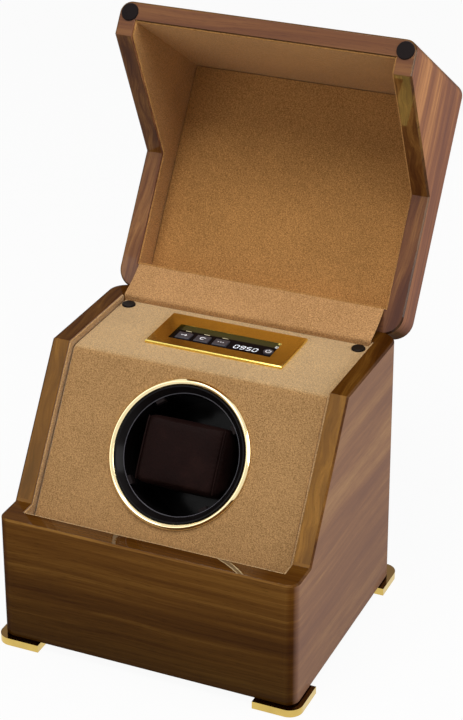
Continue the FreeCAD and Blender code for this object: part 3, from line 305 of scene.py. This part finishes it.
def raw_wood(name):
    """Plain sawn wood for rails and the bottom panel."""
    p = Paint(name, specular_ior_level=0.3)
    place = p.place()
    rings = p.noise(p.scaled(place, (60, 6, 60)), detail=4, roughness=0.6, distortion=0.4)
    fibre = p.noise(p.scaled(place, (900, 30, 900)), detail=2)
    color = p.ramp(rings, [(0.3, (0.30, 0.19, 0.10)), (0.5, (0.45, 0.31, 0.18)), (0.7, (0.56, 0.41, 0.25))])
    p.feed("Base Color", p.mixed(p.remap(fibre, 0.4, 0.7, 0.0, 0.3), color, (0.25, 0.15, 0.08)))
    p.feed("Roughness", p.remap(fibre, 0.3, 0.7, 0.6, 0.85))
    p.bump(fibre, 0.3, 0.0004)
    return p.material


def suede(name, color, dark, sheen, pale=0.0):
    """Short-pile fabric: patches of flattened pile, tufts and fine fibres; where it is level, more speckled
    and paler with a painted sheen of top light.
    """
    level_speckle = 9.0
    p = Paint(name, roughness=0.95, specular_ior_level=0.08, sheen_weight=sheen, sheen_roughness=0.35,
              sheen_tint=(1.0, 0.88, 0.70))
    place = p.scaled(p.place(), (1, 1, 1), turn=(0.6, 0.5, 0.4))
    nap = p.noise(place, 22, 2, 0.5)
    tuft = p.noise(place, 1500, 2, 0.65)
    hair = p.noise(place, 3600, 2, 0.7)
    tone = p.plus(p.times(nap, 0.10), p.plus(p.times(tuft, 0.50), p.times(hair, 0.40)))
    light = tuple(min(1.0, c * 1.45) for c in color)
    face_up = p.split(p.facing())[2]
    level_sheen_and_speckle = p.remap(face_up, 0.8, 0.95, 0.0, pale)
    tone = p.plus(tone, p.times(p.minus(tone, 0.5), p.times(level_sheen_and_speckle, level_speckle)))
    pile = p.ramp(tone, [(0.40, dark), (0.5, color), (0.60, light)])
    # painted sheen and top light: level faces are mixed towards a pale cream
    p.feed("Base Color", p.mixed(level_sheen_and_speckle, pile, (0.95, 0.83, 0.50)))
    p.bump(p.plus(tuft, p.times(hair, 0.7)), 0.55, 0.0005)
    return p.material


def metal(name, color, rough, brushed=None, tarnish=0.25, top=None):
    """Metal, polished or brushed, with faint handling marks. Its level tops can take another colour, a
    painted dark reflection.
    """
    p = Paint(name, metallic=1.0)
    place = p.place()
    haze = p.noise(place, 60, 3, 0.6)
    fine = p.noise(p.scaled(place, brushed) if brushed else place, 1.0 if brushed else 900, 3, 0.6)
    dull = tuple(c * (1 - tarnish) for c in color)
    shade = p.mixed(p.remap(haze, 0.45, 0.8, 0.0, 0.8), color, dull)
    # painted reflection: level tops turn darker, standing in for dark surroundings mirrored in them
    if top:
        face_up = p.split(p.facing())[2]
        shade = p.mixed(p.remap(face_up, 0.8, 0.95), shade, top)
    p.feed("Base Color", shade)
    marks = p.plus(p.times(haze, 0.5), p.times(fine, 0.5))
    p.feed("Roughness", p.remap(marks, 0.3, 0.7, rough * 0.65, rough * 1.5))
    p.bump(fine, 0.06 if brushed else 0.02, 0.0002)
    return p.material


def plastic(name, color, rough, depth=0.08, shine=0.4):
    """Moulded plastic with a faint skin and fine dust."""
    p = Paint(name, specular_ior_level=shine)
    place = p.place()
    skin = p.noise(place, 1400, 2, 0.6)
    dust = p.noise(place, 130, 4, 0.7)
    pale = tuple(min(1.0, c * 1.5 + 0.003) for c in color)
    p.feed("Base Color", p.mixed(p.remap(dust, 0.45, 0.8, 0.0, 0.5), color, pale))
    p.feed("Roughness", p.remap(dust, 0.3, 0.75, rough * 0.75, rough * 1.35))
    p.bump(skin, depth, 0.0002)
    return p.material


def leather(name):
    """Brown-black leatherette with a pebble grain and rubbed high places."""
    p = Paint(name, specular_ior_level=0.03)
    place = p.place()
    pebble = p.add("TexVoronoi", {"Vector": place, "Scale": 900, "Randomness": 0.9}, output="Distance",
                   feature="SMOOTH_F1")
    fold = p.noise(place, 90, 3, 0.6)
    patch = p.noise(place, 28, 2, 0.5)
    color = p.ramp(p.plus(p.times(fold, 0.5), p.times(patch, 0.5)),
                   [(0.3, (0.0065, 0.0025, 0.0022)), (0.55, (0.011, 0.0045, 0.0039)),
                    (0.75, (0.021, 0.009, 0.0074))])
    p.feed("Base Color", p.mixed(p.remap(pebble, 0.1, 0.6, 0.35, 0.0), color, (0.007, 0.004, 0.0035)))
    p.feed("Roughness", p.remap(fold, 0.3, 0.7, 0.42, 0.62))
    p.bump(p.plus(p.times(pebble, -1.0), p.times(fold, 0.6)), 0.35, 0.0005)
    return p.material


def print_ink(name, color, glow):
    """Printed or lit marks; the printed ones have a faint painted glow."""
    p = Paint(name, roughness=0.5, emission_color=color, emission_strength=glow)
    speck = p.noise(p.place(), 3000, 2)
    worn = tuple(c * 0.7 for c in color)
    p.feed("Base Color", p.mixed(p.remap(speck, 0.4, 0.8, 0.0, 0.3), color, worn))
    return p.material


finishes = {
    "walnut_case": walnut(
        "lacquered_walnut_case", turn=0.0, shift=(0, 0, 0), rim=1.0,
        side_tone_and_painted_light=((1.15, 1.22, 1.6), 0.24, (0.66, 0.38, 0.30)),
        slope_tone_and_painted_light=((0.86, 0.78, 0.60), 0.27, (0.36, 0.175, 0.030)),
        level_tone_and_painted_light=((0.72, 0.60, 0.40), 0.35, (0.050, 0.015, 0.002)), coats=(0.045, 0.03, 0.65),
        vivid=(0.1, 0.9), rim_dark=(0.03, 0.065), painted_shade_fall=((0.56, 1.5), (0.78, 1.03)), corner_painted_shade=1.0),
    "walnut_lid": walnut(
        "lacquered_walnut_lid", turn=LID_TURN, shift=CLOSE.to_translation(), rim=-1.0,
        side_tone_and_painted_light=((1.66, 1.40, 1.52), 0.17, (0.74, 0.36, 0.29)),
        slope_tone_and_painted_light=((0.95, 0.82, 0.75), 0.10, (0.30, 0.10, 0.05)),
        level_tone_and_painted_light=((1.06, 0.94, 1.06), 0.18, (0.33, 0.145, 0.115)), coats=(0.045, 0.09, 0.0),
        vivid=(0.8, 1.2), rim_dark=(-0.03, 0.10), painted_shade_fall=((1.0, 1.0), (1.0, 1.0)), corner_painted_shade=0.3),
    "inner_wood": raw_wood("sawn_wood"),
    # the panel's level faces get a painted sheen of top light
    "panel_fabric": suede("panel_suede", (0.375, 0.212, 0.086), (0.205, 0.106, 0.036), 0.6, pale=0.13),
    "lid_fabric": suede("lid_suede", (0.425, 0.212, 0.068), (0.235, 0.108, 0.030), 0.25),
    "hinge_fabric": suede("hinge_suede", (0.420, 0.228, 0.095), (0.24, 0.122, 0.043), 0.35),
    # the feet's level tops carry a painted dark reflection
    "foot_brass": metal("polished_brass_painted_dark_tops", (0.68, 0.48, 0.13), 0.10, top=(0.16, 0.085, 0.02)),
    "ring_gold": metal("pale_gold", (0.93, 0.77, 0.44), 0.06, tarnish=0.12),
    "bezel_brass": metal("polished_plate", (0.95, 0.76, 0.20), 0.11, brushed=(30, 2600, 2600)),
    "cup_black": plastic("gloss_black", (0.005, 0.0040, 0.0040), 0.16, depth=0.02, shine=0.05),
    "nub_rubber": plastic("clip_rubber", (0.009, 0.006, 0.006), 0.5, depth=0.2, shine=0.05),
    "cap_black": plastic("cap_plastic", (0.008, 0.006, 0.005), 0.35, depth=0.1, shine=0.06),
    "cushion_leather": leather("brown_leatherette"),
    "window_black": plastic("window_acrylic", (0.004, 0.003, 0.004), 0.10, depth=0.01, shine=0.03),
    "key_black": plastic("key_plastic", (0.040, 0.037, 0.046), 0.34, depth=0.15),
    "hinge_steel": metal("hinge_brass", (0.80, 0.62, 0.32), 0.2, brushed=(60, 1800, 1800)),
    "screw_steel": metal("bright_steel", (0.60, 0.60, 0.61), 0.25),
    "bridge_zinc": metal("zinc_plate", (0.62, 0.64, 0.66), 0.38, brushed=(40, 900, 900)),
    "bush_bronze": metal("bronze", (0.60, 0.42, 0.22), 0.3),
    "shaft_steel": metal("ground_steel", (0.64, 0.64, 0.65), 0.2, brushed=(2200, 80, 2200)),
    "gear_nylon": plastic("nylon", (0.80, 0.78, 0.72), 0.45),
    "motor_case": metal("plated_can", (0.60, 0.60, 0.62), 0.3),
    "tray_plastic": plastic("tray_black", (0.03, 0.03, 0.03), 0.45),
    "board_green": plastic("board_laminate", (0.02, 0.13, 0.05), 0.35),
    "display_dark": plastic("display_glass", (0.03, 0.035, 0.035), 0.15),
    "inlet_plastic": plastic("inlet_black", (0.02, 0.02, 0.02), 0.4),
}
for node in nodes.values():
    node.data.materials[0] = finishes[node.data.materials[0].name]
    node.data.shade_smooth()


def as_mesh(name, shape):
    """A named mesh from a shape under construction."""
    mesh = bpy.data.meshes.new(name)
    shape.to_mesh(mesh)
    shape.free()
    return mesh


def new_piece(name, mesh, slot, body):
    """A piece of the object with a finish of the record, riding on a body if one is given."""
    piece = bpy.data.objects.new(name, mesh)
    scene.collection.objects.link(piece)
    mesh.materials.clear()
    mesh.materials.append(finishes[slot])
    if body:
        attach(piece, body)
    return piece


def in_cup_axes(node):
    """A CAD node's points along the cup's own axes."""
    back = CUP.inverted()
    return np.array([back @ v.co for v in nodes[node].data.vertices])


def turned(name, profile, slot, body):
    """A closed profile of radius and level, turned about the cup's axis."""
    steps = 144
    shape = bmesh.new()
    rings = []
    for k in range(steps):
        angle = 2 * math.pi * k / steps
        rings.append([shape.verts.new((r * math.cos(angle), r * math.sin(angle), n)) for r, n in profile])
    for k in range(steps):
        here, there = rings[k], rings[(k + 1) % steps]
        for i in range(len(profile)):
            j = (i + 1) % len(profile)
            shape.faces.new((here[i], there[i], there[j], here[j]))
    bmesh.ops.recalc_face_normals(shape, faces=shape.faces)
    mesh = as_mesh(name, shape)
    mesh.transform(CUP)
    mesh.shade_smooth()
    return new_piece(name, mesh, slot, body)


def made_ring():
    """The polished ring: a ridge with two bright flanks, and a thin grey bead in the cup's mouth, whose
    lighter colour is a painted highlight on the cup's edge.
    """
    points = in_cup_axes("trim_ring")
    inner = np.linalg.norm(points[:, :2], axis=1).min()
    width = points[:, 0].max() - inner
    bottom, height = points[:, 2].min(), np.ptp(points[:, 2])
    # shares of the ring's width and height, from its inner foot over the ridge to its outer foot
    profile = [(0, 0), (0, 0.40), (0.02, 0.50), (0.06, 0.57), (0.11, 0.63), (0.30, 0.87), (0.36, 0.93),
               (0.42, 0.98), (0.50, 1.0), (0.57, 0.98), (0.63, 0.92), (0.68, 0.85), (0.88, 0.55),
               (0.93, 0.47), (0.97, 0.36), (1.0, 0.22), (1.0, 0)]
    outline = [(inner + a * width, bottom + b * height) for a, b in profile]
    ring = turned("gold_ring", outline, "ring_gold", "case")
    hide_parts("trim_ring")
    # the bead is a real rounded shape that catches light, and its grey, lighter than the cup, stands in for
    # a highlight on the cup's edge
    line_radius, line_level, line_thick = 0.03445, -0.0030, 0.0003
    bead = [(line_radius + line_thick * math.cos(a), line_level + line_thick * math.sin(a))
            for a in (math.pi * k / 4 for k in range(8))]
    turned("mouth_highlight_bead", bead, "key_black", "rotor")


def rounded_nubs():
    """Softer edges on the nubs in the cup's wall."""
    soft = nodes["cup_nubs"].modifiers.new("rounded", "BEVEL")
    soft.width = 0.0006
    soft.segments = 2


def tube(name, points, radius, slot, body):
    """A thin round edge along a line of points."""
    curve = bpy.data.curves.new(name + "_line", "CURVE")
    curve.dimensions = "3D"
    curve.bevel_depth = radius
    curve.bevel_resolution = 2
    curve.use_fill_caps = True
    line = curve.splines.new("POLY")
    line.points.add(len(points) - 1)
    for spot, point in zip(line.points, points):
        spot.co = (*point, 1)
    source = bpy.data.objects.new(name + "_line", curve)
    scene.collection.objects.link(source)
    mesh = bpy.data.meshes.new_from_object(source.evaluated_get(bpy.context.evaluated_depsgraph_get()))
    bpy.data.objects.remove(source)
    mesh.shade_smooth()
    new_piece(name, mesh, slot, body)


def below_wood(point):
    """How far a point lies under the wood edge of the case: its front land, its slope or its back rim."""
    climb = max(0, point.y - SLOPE_FOOT) * (RIM_HEIGHT - LAND_HEIGHT) / SLOPE_RUN
    return min(RIM_HEIGHT, LAND_HEIGHT + climb) - point.z


def upright_rows(points):
    """The different places of points along Y and Z, from front to back."""
    return sorted({(round(v.y, 5), round(v.z, 5)) for v in points})


def made_edges():
    """The fabric turned over the edges of the linings, as a soft bead along each."""
    bead = 0.0006
    edge_depth, roof_clearance = 0.0022, 0.003
    reopen = CLOSE.inverted()
    for side in ("left", "right"):
        corners = [v.co for v in nodes[side + "_liner"].data.vertices if below_wood(v.co) < edge_depth]
        across = sum(v.x for v in corners) / len(corners)
        line = [(across, y, z) for y, z in upright_rows(corners)]
        tube(f"{side}_liner_edge", line, bead, "panel_fabric", "case")
        shut = [CLOSE @ v.co for v in nodes[f"lid_{side}_lining"].data.vertices]
        roof = max(v.z for v in shut)
        across = sum(v.x for v in shut) / len(shut)
        rows = upright_rows([v for v in shut if v.z < roof - roof_clearance])
        line = [reopen @ Vector((across, y, z)) for y, z in rows]
        tube(f"lid_{side}_edge", line, bead, "lid_fabric", "lid")
    low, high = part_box("front_liner")
    line = [(x, (low.y + high.y) / 2, high.z) for x in (low.x, high.x)]
    tube("front_liner_edge", line, bead, "panel_fabric", "case")
    shut = [CLOSE @ v.co for v in nodes["lid_front_lining"].data.vertices]
    y = sum(v.y for v in shut) / len(shut)
    z = min(v.z for v in shut)
    reach = max(v.x for v in shut)
    line = [reopen @ Vector((x, y, z)) for x in (-reach, reach)]
    tube("lid_front_edge", line, bead, "lid_fabric", "lid")


# Half the width of the cushion's face, and the place of the seam at each end of it.
FACE = 0.0245
SEAM = FACE - 0.0012
# A length next to nothing, so that nothing is divided by a length of zero.
TINY = 1e-9


def stuffed_block(half):
    """A block with rounded edges and leaning ends, a little small, blown up by a cloth simulation."""
    most_swell, side_room = 0.0022, 0.0026
    lean_start, lean_height = 0.013, 0.011
    cloth_steps = 14
    slim = Vector((half.x - most_swell, half.y - side_room, half.z - most_swell))
    shape = bmesh.new()
    bmesh.ops.create_cube(shape, size=2)
    bmesh.ops.scale(shape, vec=slim, verts=shape.verts)
    bmesh.ops.bevel(shape, geom=shape.edges[:], offset=0.004, segments=3, profile=0.5, affect="EDGES")
    pillow = bpy.data.objects.new("watch_pillow", as_mesh("watch_pillow", shape))
    scene.collection.objects.link(pillow)
    remesh = pillow.modifiers.new("even", "REMESH")
    remesh.mode = "VOXEL"
    remesh.voxel_size = 0.0022
    bpy.context.view_layer.objects.active = pillow
    bpy.ops.object.modifier_apply(modifier="even")
    start = np.array([v.co for v in pillow.data.vertices])
    # the end panels lean in to the narrower face
    lean = np.clip((start[:, 2] - half.z + lean_start) / lean_height, 0, 1)
    start[:, 0] *= 1 - lean * (1 - FACE / half.x)
    pillow.data.vertices.foreach_set("co", start.ravel())
    cloth = pillow.modifiers.new("swell", "CLOTH")
    cloth.settings.use_pressure = True
    cloth.settings.uniform_pressure_force = 4.0
    cloth.settings.effector_weights.gravity = 0.0
    cloth.settings.tension_stiffness = 20
    cloth.settings.bending_stiffness = 0.4
    for step in range(1, cloth_steps + 1):
        scene.frame_set(step)
    bpy.ops.object.modifier_apply(modifier="swell")
    scene.frame_set(1)
    moved = np.array([v.co for v in pillow.data.vertices]) - start
    length = np.linalg.norm(moved, axis=1, keepdims=True)
    start = start + moved * np.minimum(1.0, most_swell / np.maximum(length, TINY))
    pillow.data.vertices.foreach_set("co", start.ravel())
    divide = pillow.modifiers.new("smooth", "SUBSURF")
    divide.levels = divide.render_levels = 2
    bpy.ops.object.modifier_apply(modifier="smooth")
    return pillow


def sewn(points, half, reach):
    """The cushion's points with its crown, drawn-in sides and seams, kept inside the CAD cushion."""
    skin = 0.0002
    crown, pull = 0.0012, 0.025
    top_start, top_height = 0.008, 0.003
    seam_depth, seam_width = 0.0007, 0.0007
    pucker_depth, pucker_width, pucker_rate = 0.00012, 0.0028, 1900
    ends = np.abs(points[:, 0]) / half.x
    # the crown sits highest in the middle of the face, and the sides pull in between the corners
    up = np.clip(points[:, 2] / half.z, 0, 1) ** 2
    points[:, 2] += up * crown * (1 - ends ** 2) * (1 - (points[:, 1] / half.y) ** 2)
    points[:, 1] *= 1 - pull * (1 - np.clip(ends, 0, 1) ** 2) * np.abs(points[:, 1]) / half.y
    # the seam draws the face in at each end, with small puckers along it
    near_top = np.clip((points[:, 2] - half.z + top_start) / top_height, 0, 1)
    off = np.abs(points[:, 0]) - SEAM
    points[:, 2] -= seam_depth * near_top * np.exp(-(off / seam_width) ** 2)
    puckers = np.exp(-(off / pucker_width) ** 2) * np.sin(points[:, 1] * pucker_rate)
    points[:, 2] += pucker_depth * near_top * puckers
    limit = np.array(half) - skin
    points = np.clip(points, -limit, limit)
    span = np.linalg.norm(points[:, :2], axis=1, keepdims=True)
    points[:, :2] *= np.minimum(1.0, (reach - skin) / np.maximum(span, TINY))
    return points


def seam_line(points, half, side):
    """Spots along the seam at one end of the face, on the cushion's skin."""
    near, end_gap, top_gap, lift = 0.0012, 0.004, 0.0007, 0.0001
    spots = 25
    line = []
    for y in np.linspace(-half.y + end_gap, half.y - end_gap, spots):
        close = (np.abs(points[:, 0] - side * SEAM) < near) & (np.abs(points[:, 1] - y) < near)
        level = points[close][:, 2].max() + lift
        line.append((side * SEAM, y, min(level, half.z - top_gap)))
    return line


def made_cushion():
    """The watch cushion: a stuffed block with a welted seam at each end of its face."""
    welt_radius = 0.0005
    cad_points = in_cup_axes("watch_cushion")
    low, high = Vector(cad_points.min(0)), Vector(cad_points.max(0))
    reach = np.linalg.norm(cad_points[:, :2], axis=1).max()
    middle, half = (low + high) / 2, (high - low) / 2
    pillow = stuffed_block(half)
    points = sewn(np.array([v.co for v in pillow.data.vertices]), half, reach)
    pillow.data.vertices.foreach_set("co", points.ravel())
    pillow.data.transform(Matrix.Translation(middle))
    pillow.data.transform(CUP)
    pillow.data.materials.clear()
    pillow.data.materials.append(finishes["cushion_leather"])
    pillow.data.shade_smooth()
    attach(pillow, "cushion")
    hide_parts("watch_cushion")
    for name, side in (("cushion_welt_left", -1), ("cushion_welt_right", 1)):
        line = [CUP @ (Vector(spot) + middle) for spot in seam_line(points, half, side)]
        tube(name, line, welt_radius, "cushion_leather", "cushion")


def strip_path(low, high):
    """The hinge strip's middle line: up the back wall, round a small bend and over to the lid.

    Returned with the bend, where the strip leaves the case, and the end, where it joins the lid.
    """
    wall_gap, foot_gap, rim_gap = 0.0004, 0.0001, 0.0003
    lid_gap, lid_drop = 0.0003, 0.0006
    bend_reach = 0.0014
    most_sag = Vector((0, 0.0004, -0.0007))
    foot = Vector((0, low.y + wall_gap, low.z + foot_gap))
    bend = Vector((0, low.y + wall_gap, RIM_HEIGHT + rim_gap))
    end = Vector((0, high.y - lid_gap, high.z - lid_drop))
    run = (end - bend).normalized()
    turn = [bend - Vector((0, 0, bend_reach)), bend, bend + run * bend_reach]
    path = [foot.lerp(turn[0], i / 4) for i in range(4)]
    for i in range(5):
        t = i / 4
        path.append(turn[0].lerp(turn[1], t).lerp(turn[1].lerp(turn[2], t), t))
    for i in range(1, 15):
        t = i / 14
        path.append(turn[2].lerp(end, t) + most_sag * math.sin(math.pi * t))
    return path, bend, end


def made_hinge_strip():
    """The fabric strip over the hinges: up the case's back wall from the panel, then over to the lid."""
    side_gap = 0.0003
    along, bent_rows = 64, 8
    ripple_depth, ripple_rate, ripple_start = 0.00018, 210, 1.3
    low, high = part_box("hinge_cloth")
    path, bend, end = strip_path(low, high)
    width = high.x - low.x - 2 * side_gap
    shape = bmesh.new()
    grid = []
    for i, spot in enumerate(path):
        loose = math.sin(math.pi * max(0, i - bent_rows) / (len(path) - 1 - bent_rows))
        row = []
        for j in range(along + 1):
            x = low.x + side_gap + width * j / along
            ripple = ripple_depth * math.sin(x * ripple_rate + ripple_start) * loose
            row.append(shape.verts.new((x, spot.y, spot.z + ripple)))
        grid.append(row)
    for lower, upper in zip(grid, grid[1:]):
        for j in range(along):
            shape.faces.new((lower[j], lower[j + 1], upper[j + 1], upper[j]))
    mesh = as_mesh("hinge_strip", shape)
    mesh.shade_smooth()
    strip = new_piece("hinge_strip", mesh, "hinge_fabric", None)
    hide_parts("hinge_cloth")
    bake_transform(strip)


def flat_mark(name, outlines, level, ink, body):
    """Thin printed shapes on a level face, from outlines in millimetres."""
    shape = bmesh.new()
    for outline in outlines:
        base = [shape.verts.new((x / 1000, y / 1000, level)) for x, y in outline]
        shape.faces.new(base)
    bmesh.ops.recalc_face_normals(shape, faces=shape.faces)
    for face in shape.faces:
        if face.normal.z < 0:
            face.normal_flip()
    mesh = as_mesh(name, shape)
    piece = bpy.data.objects.new(name, mesh)
    scene.collection.objects.link(piece)
    mesh.materials.append(ink)
    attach(piece, body)


# The lit bars of the digits that the display shows.
SEGMENTS = {"0": "abcdef", "5": "afgcd", "9": "abcdfg"}


def digit_bars(text, x, y, width, height, pitch):
    """Seven-bar digits as six-cornered bars, in millimetres."""
    lean = 0.12
    thick = width * 0.2
    gap = thick * 0.3
    middle = height / 2
    spots = {
        "a": ((0, height), (width, height)),
        "b": ((width, middle), (width, height)),
        "c": ((width, 0), (width, middle)),
        "d": ((0, 0), (width, 0)),
        "e": ((0, 0), (0, middle)),
        "f": ((0, middle), (0, height)),
        "g": ((0, middle), (width, middle)),
    }
    bars = []
    for k, digit in enumerate(text):
        left = x + k * pitch
        for letter in SEGMENTS[digit]:
            a, b = (Vector(q) for q in spots[letter])
            run = (b - a).normalized()
            side = Vector((-run.y, run.x)) * thick / 2
            a, b = a + run * gap, b - run * gap
            ring = [a, a + run * thick / 2 + side, b - run * thick / 2 + side, b,
                    b - run * thick / 2 - side, a + run * thick / 2 - side]
            bars.append([(left + q.x + lean * q.y, y + q.y) for q in ring])
    return bars


def bar(x0, y0, x1, y1, thick):
    """A straight stroke between two points."""
    run = Vector((x1 - x0, y1 - y0)).normalized()
    side = Vector((-run.y, run.x)) * thick / 2
    return [(x0 - side.x, y0 - side.y), (x1 - side.x, y1 - side.y), (x1 + side.x, y1 + side.y),
            (x0 + side.x, y0 + side.y)]


def arc_bars(x, y, radius, thick, start, end, count):
    """A ring or part of one, as short quads."""
    inner, outer = radius - thick / 2, radius + thick / 2
    quads = []
    for k in range(count):
        a0 = math.radians(start + (end - start) * k / count)
        a1 = math.radians(start + (end - start) * (k + 1) / count)
        quads.append([(x + math.cos(a) * r, y + math.sin(a) * r)
                      for a, r in ((a0, inner), (a0, outer), (a1, outer), (a1, inner))])
    return quads


def key_middle(node):
    """The middle of a key along X and Y, in millimetres."""
    low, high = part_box(node)
    return (low.x + high.x) * 500, (low.y + high.y) * 500


def made_marks():
    """Plain signs on the keys and the window, and the number on the display."""
    ink_lift = 0.00004
    # strokes in millimetres, as all the outlines below
    pen, broad_pen, fine_pen = 0.5, 0.55, 0.4
    half_stroke = 1.8
    # painted light: the white and cream print carry a faint painted glow; only the display's number is lit
    white = print_ink("white_print_with_painted_glow", (0.80, 0.80, 0.83), 0.15)
    cream = print_ink("cream_print_with_painted_glow", (0.62, 0.55, 0.38), 0.05)
    lit = print_ink("display_light", (0.85, 0.88, 0.95), 0.7)
    key_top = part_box("mode_key")[1].z + ink_lift
    window_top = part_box("display_lens")[1].z + ink_lift
    x, y = key_middle("mode_key")
    tip = x + half_stroke
    arrow = [bar(x - half_stroke, y, tip, y, broad_pen)]
    arrow += [bar(tip, y, x + 0.6, y + rise, pen) for rise in (1.0, -1.0)]
    flat_mark("mode_sign", arrow, key_top, white, "mode_key")
    x, y = key_middle("turns_key")
    loop = arc_bars(x, y, radius=1.3, thick=broad_pen, start=40, end=320, count=16)
    loop.append(bar(x + 0.9, y + 0.7, x + 2.0, y + 0.7, pen))
    flat_mark("turns_sign", loop, key_top, white, "turns_key")
    x, y = key_middle("direction_key")
    half_dot = 0.35
    dots = [bar(x + d - half_dot, y, x + d + half_dot, y, 2 * half_dot) for d in (-1.5, 0, 1.5)]
    flat_mark("direction_sign", dots, key_top, white, "direction_key")
    x, y = key_middle("power_key")
    switch = arc_bars(x, y, radius=1.5, thick=pen, start=125, end=415, count=18)
    switch.append(bar(x, y + 0.5, x, y + 2.0, pen))
    flat_mark("power_sign", switch, key_top, white, "power_key")
    x, y, inner, outer = 29.5, -9.9, 0.5, 1.4
    rays = []
    for k in range(8):
        c, s = math.cos(math.pi * k / 4), math.sin(math.pi * k / 4)
        rays.append(bar(x + inner * c, y + inner * s, x + outer * c, y + outer * s, fine_pen))
    flat_mark("window_sign", rays, window_top, white, "case")
    dash_y = -11.2
    middles = [key_middle(key)[0] for key in ("mode_key", "turns_key", "direction_key")]
    dashes = [bar(c - half_stroke, dash_y, c + half_stroke, dash_y, pen) for c in middles]
    flat_mark("window_dashes", dashes, window_top, cream, "case")
    number = digit_bars("0950", 6.4, -19.8, width=2.4, height=3.9, pitch=3.8)
    flat_mark("display_number", number, window_top, lit, "case")


made_ring()
rounded_nubs()
made_edges()
made_cushion()
made_hinge_strip()
made_marks()


def pale_floor():
    """A pale floor that keeps soft shadows, nearly white to the camera and in reflections."""
    white_share = 0.94
    p = Paint("pale_floor", roughness=0.9, specular_ior_level=0.1)
    speck = p.noise(p.place(), 40, 3)
    p.feed("Base Color", p.ramp(speck, [(0.3, (0.62, 0.62, 0.61)), (0.7, (0.66, 0.66, 0.65))]))
    path = p.tree.nodes.new("ShaderNodeLightPath")
    seen = p.calc("MAXIMUM", path.outputs["Is Camera Ray"],
                  p.calc("MAXIMUM", path.outputs["Is Glossy Ray"], path.outputs["Is Transmission Ray"]))
    white = p.add("Emission", {"Color": (1, 1, 1, 1), "Strength": 1.0})
    both = p.add("MixShader", {0: p.times(seen, white_share), 1: p.shader.outputs[0], 2: white})
    p.tree.links.new(both, p.tree.nodes["Material Output"].inputs["Surface"])
    return p.material


def made_floor():
    """A wide floor just under the feet."""
    reach, level = 6, -0.0002
    corners = [(-reach, -reach, level), (reach, -reach, level),
               (reach, reach, level), (-reach, reach, level)]
    mesh = bpy.data.meshes.new("floor")
    mesh.from_pydata(corners, [], [(0, 1, 2, 3)])
    mesh.materials.append(pale_floor())
    floor = bpy.data.objects.new("floor", mesh)
    scene.collection.objects.link(floor)


def made_world():
    """White surroundings for the camera and in reflections, and a weaker light on everything else."""
    weak, white = 0.25, 1.0
    world = bpy.data.worlds.new("studio")
    scene.world = world
    world.use_nodes = True
    sky = world.node_tree
    fill = sky.nodes["Background"]
    fill.inputs["Color"].default_value = (1, 1, 1, 1)
    path = sky.nodes.new("ShaderNodeLightPath")
    seen = None
    for kind in ("Is Camera Ray", "Is Glossy Ray", "Is Transmission Ray"):
        step = sky.nodes.new("ShaderNodeMath")
        step.operation = "MAXIMUM"
        sky.links.new(path.outputs[kind], step.inputs[0])
        step.inputs[1].default_value = 0
        if seen:
            sky.links.new(seen, step.inputs[1])
        seen = step.outputs[0]
    strength = sky.nodes.new("ShaderNodeMapRange")
    sky.links.new(seen, strength.inputs["Value"])
    strength.inputs["To Min"].default_value = weak
    strength.inputs["To Max"].default_value = white
    sky.links.new(strength.outputs[0], fill.inputs["Strength"])


def soft_lamp(name, spot, aim, width, height, power):
    """A white soft box at a spot, turned to what it lights."""
    lamp = bpy.data.lights.new(name, "AREA")
    lamp.shape = "RECTANGLE"
    lamp.size, lamp.size_y = width, height
    lamp.energy = power
    holder = bpy.data.objects.new(name, lamp)
    holder.location = spot
    holder.rotation_euler = (Vector(aim) - Vector(spot)).to_track_quat("-Z", "Y").to_euler()
    scene.collection.objects.link(holder)


def made_camera():
    """The photo's camera, as fitted to the edges of the case."""
    lens = bpy.data.cameras.new("photo_lens")
    lens.sensor_width = 36
    lens.lens = 111.6
    lens.shift_x = -0.0118
    lens.shift_y = -0.125
    lens.clip_end = 50
    camera = bpy.data.objects.new("photo_camera", lens)
    camera.location = (0.4625, -1.0541, 0.7273)
    yaw, pitch = math.radians(-23.59), math.radians(24.77)
    aim = Vector((math.sin(yaw) * math.cos(pitch), math.cos(yaw) * math.cos(pitch), -math.sin(pitch)))
    camera.rotation_mode = "QUATERNION"
    camera.rotation_quaternion = aim.to_track_quat("-Z", "Y")
    scene.collection.objects.link(camera)
    scene.camera = camera


made_floor()
made_world()
soft_lamp("top", (0.05, -0.38, 1.55), (0, -0.02, 0.15), width=1.2, height=1.0, power=18.5)
soft_lamp("right", (1.6, 0.1, 0.8), (0, 0, 0.15), width=0.9, height=0.9, power=13.6)
soft_lamp("front", (-0.6, -1.6, 0.9), (0, 0, 0.15), width=0.8, height=0.8, power=3.8)
made_camera()
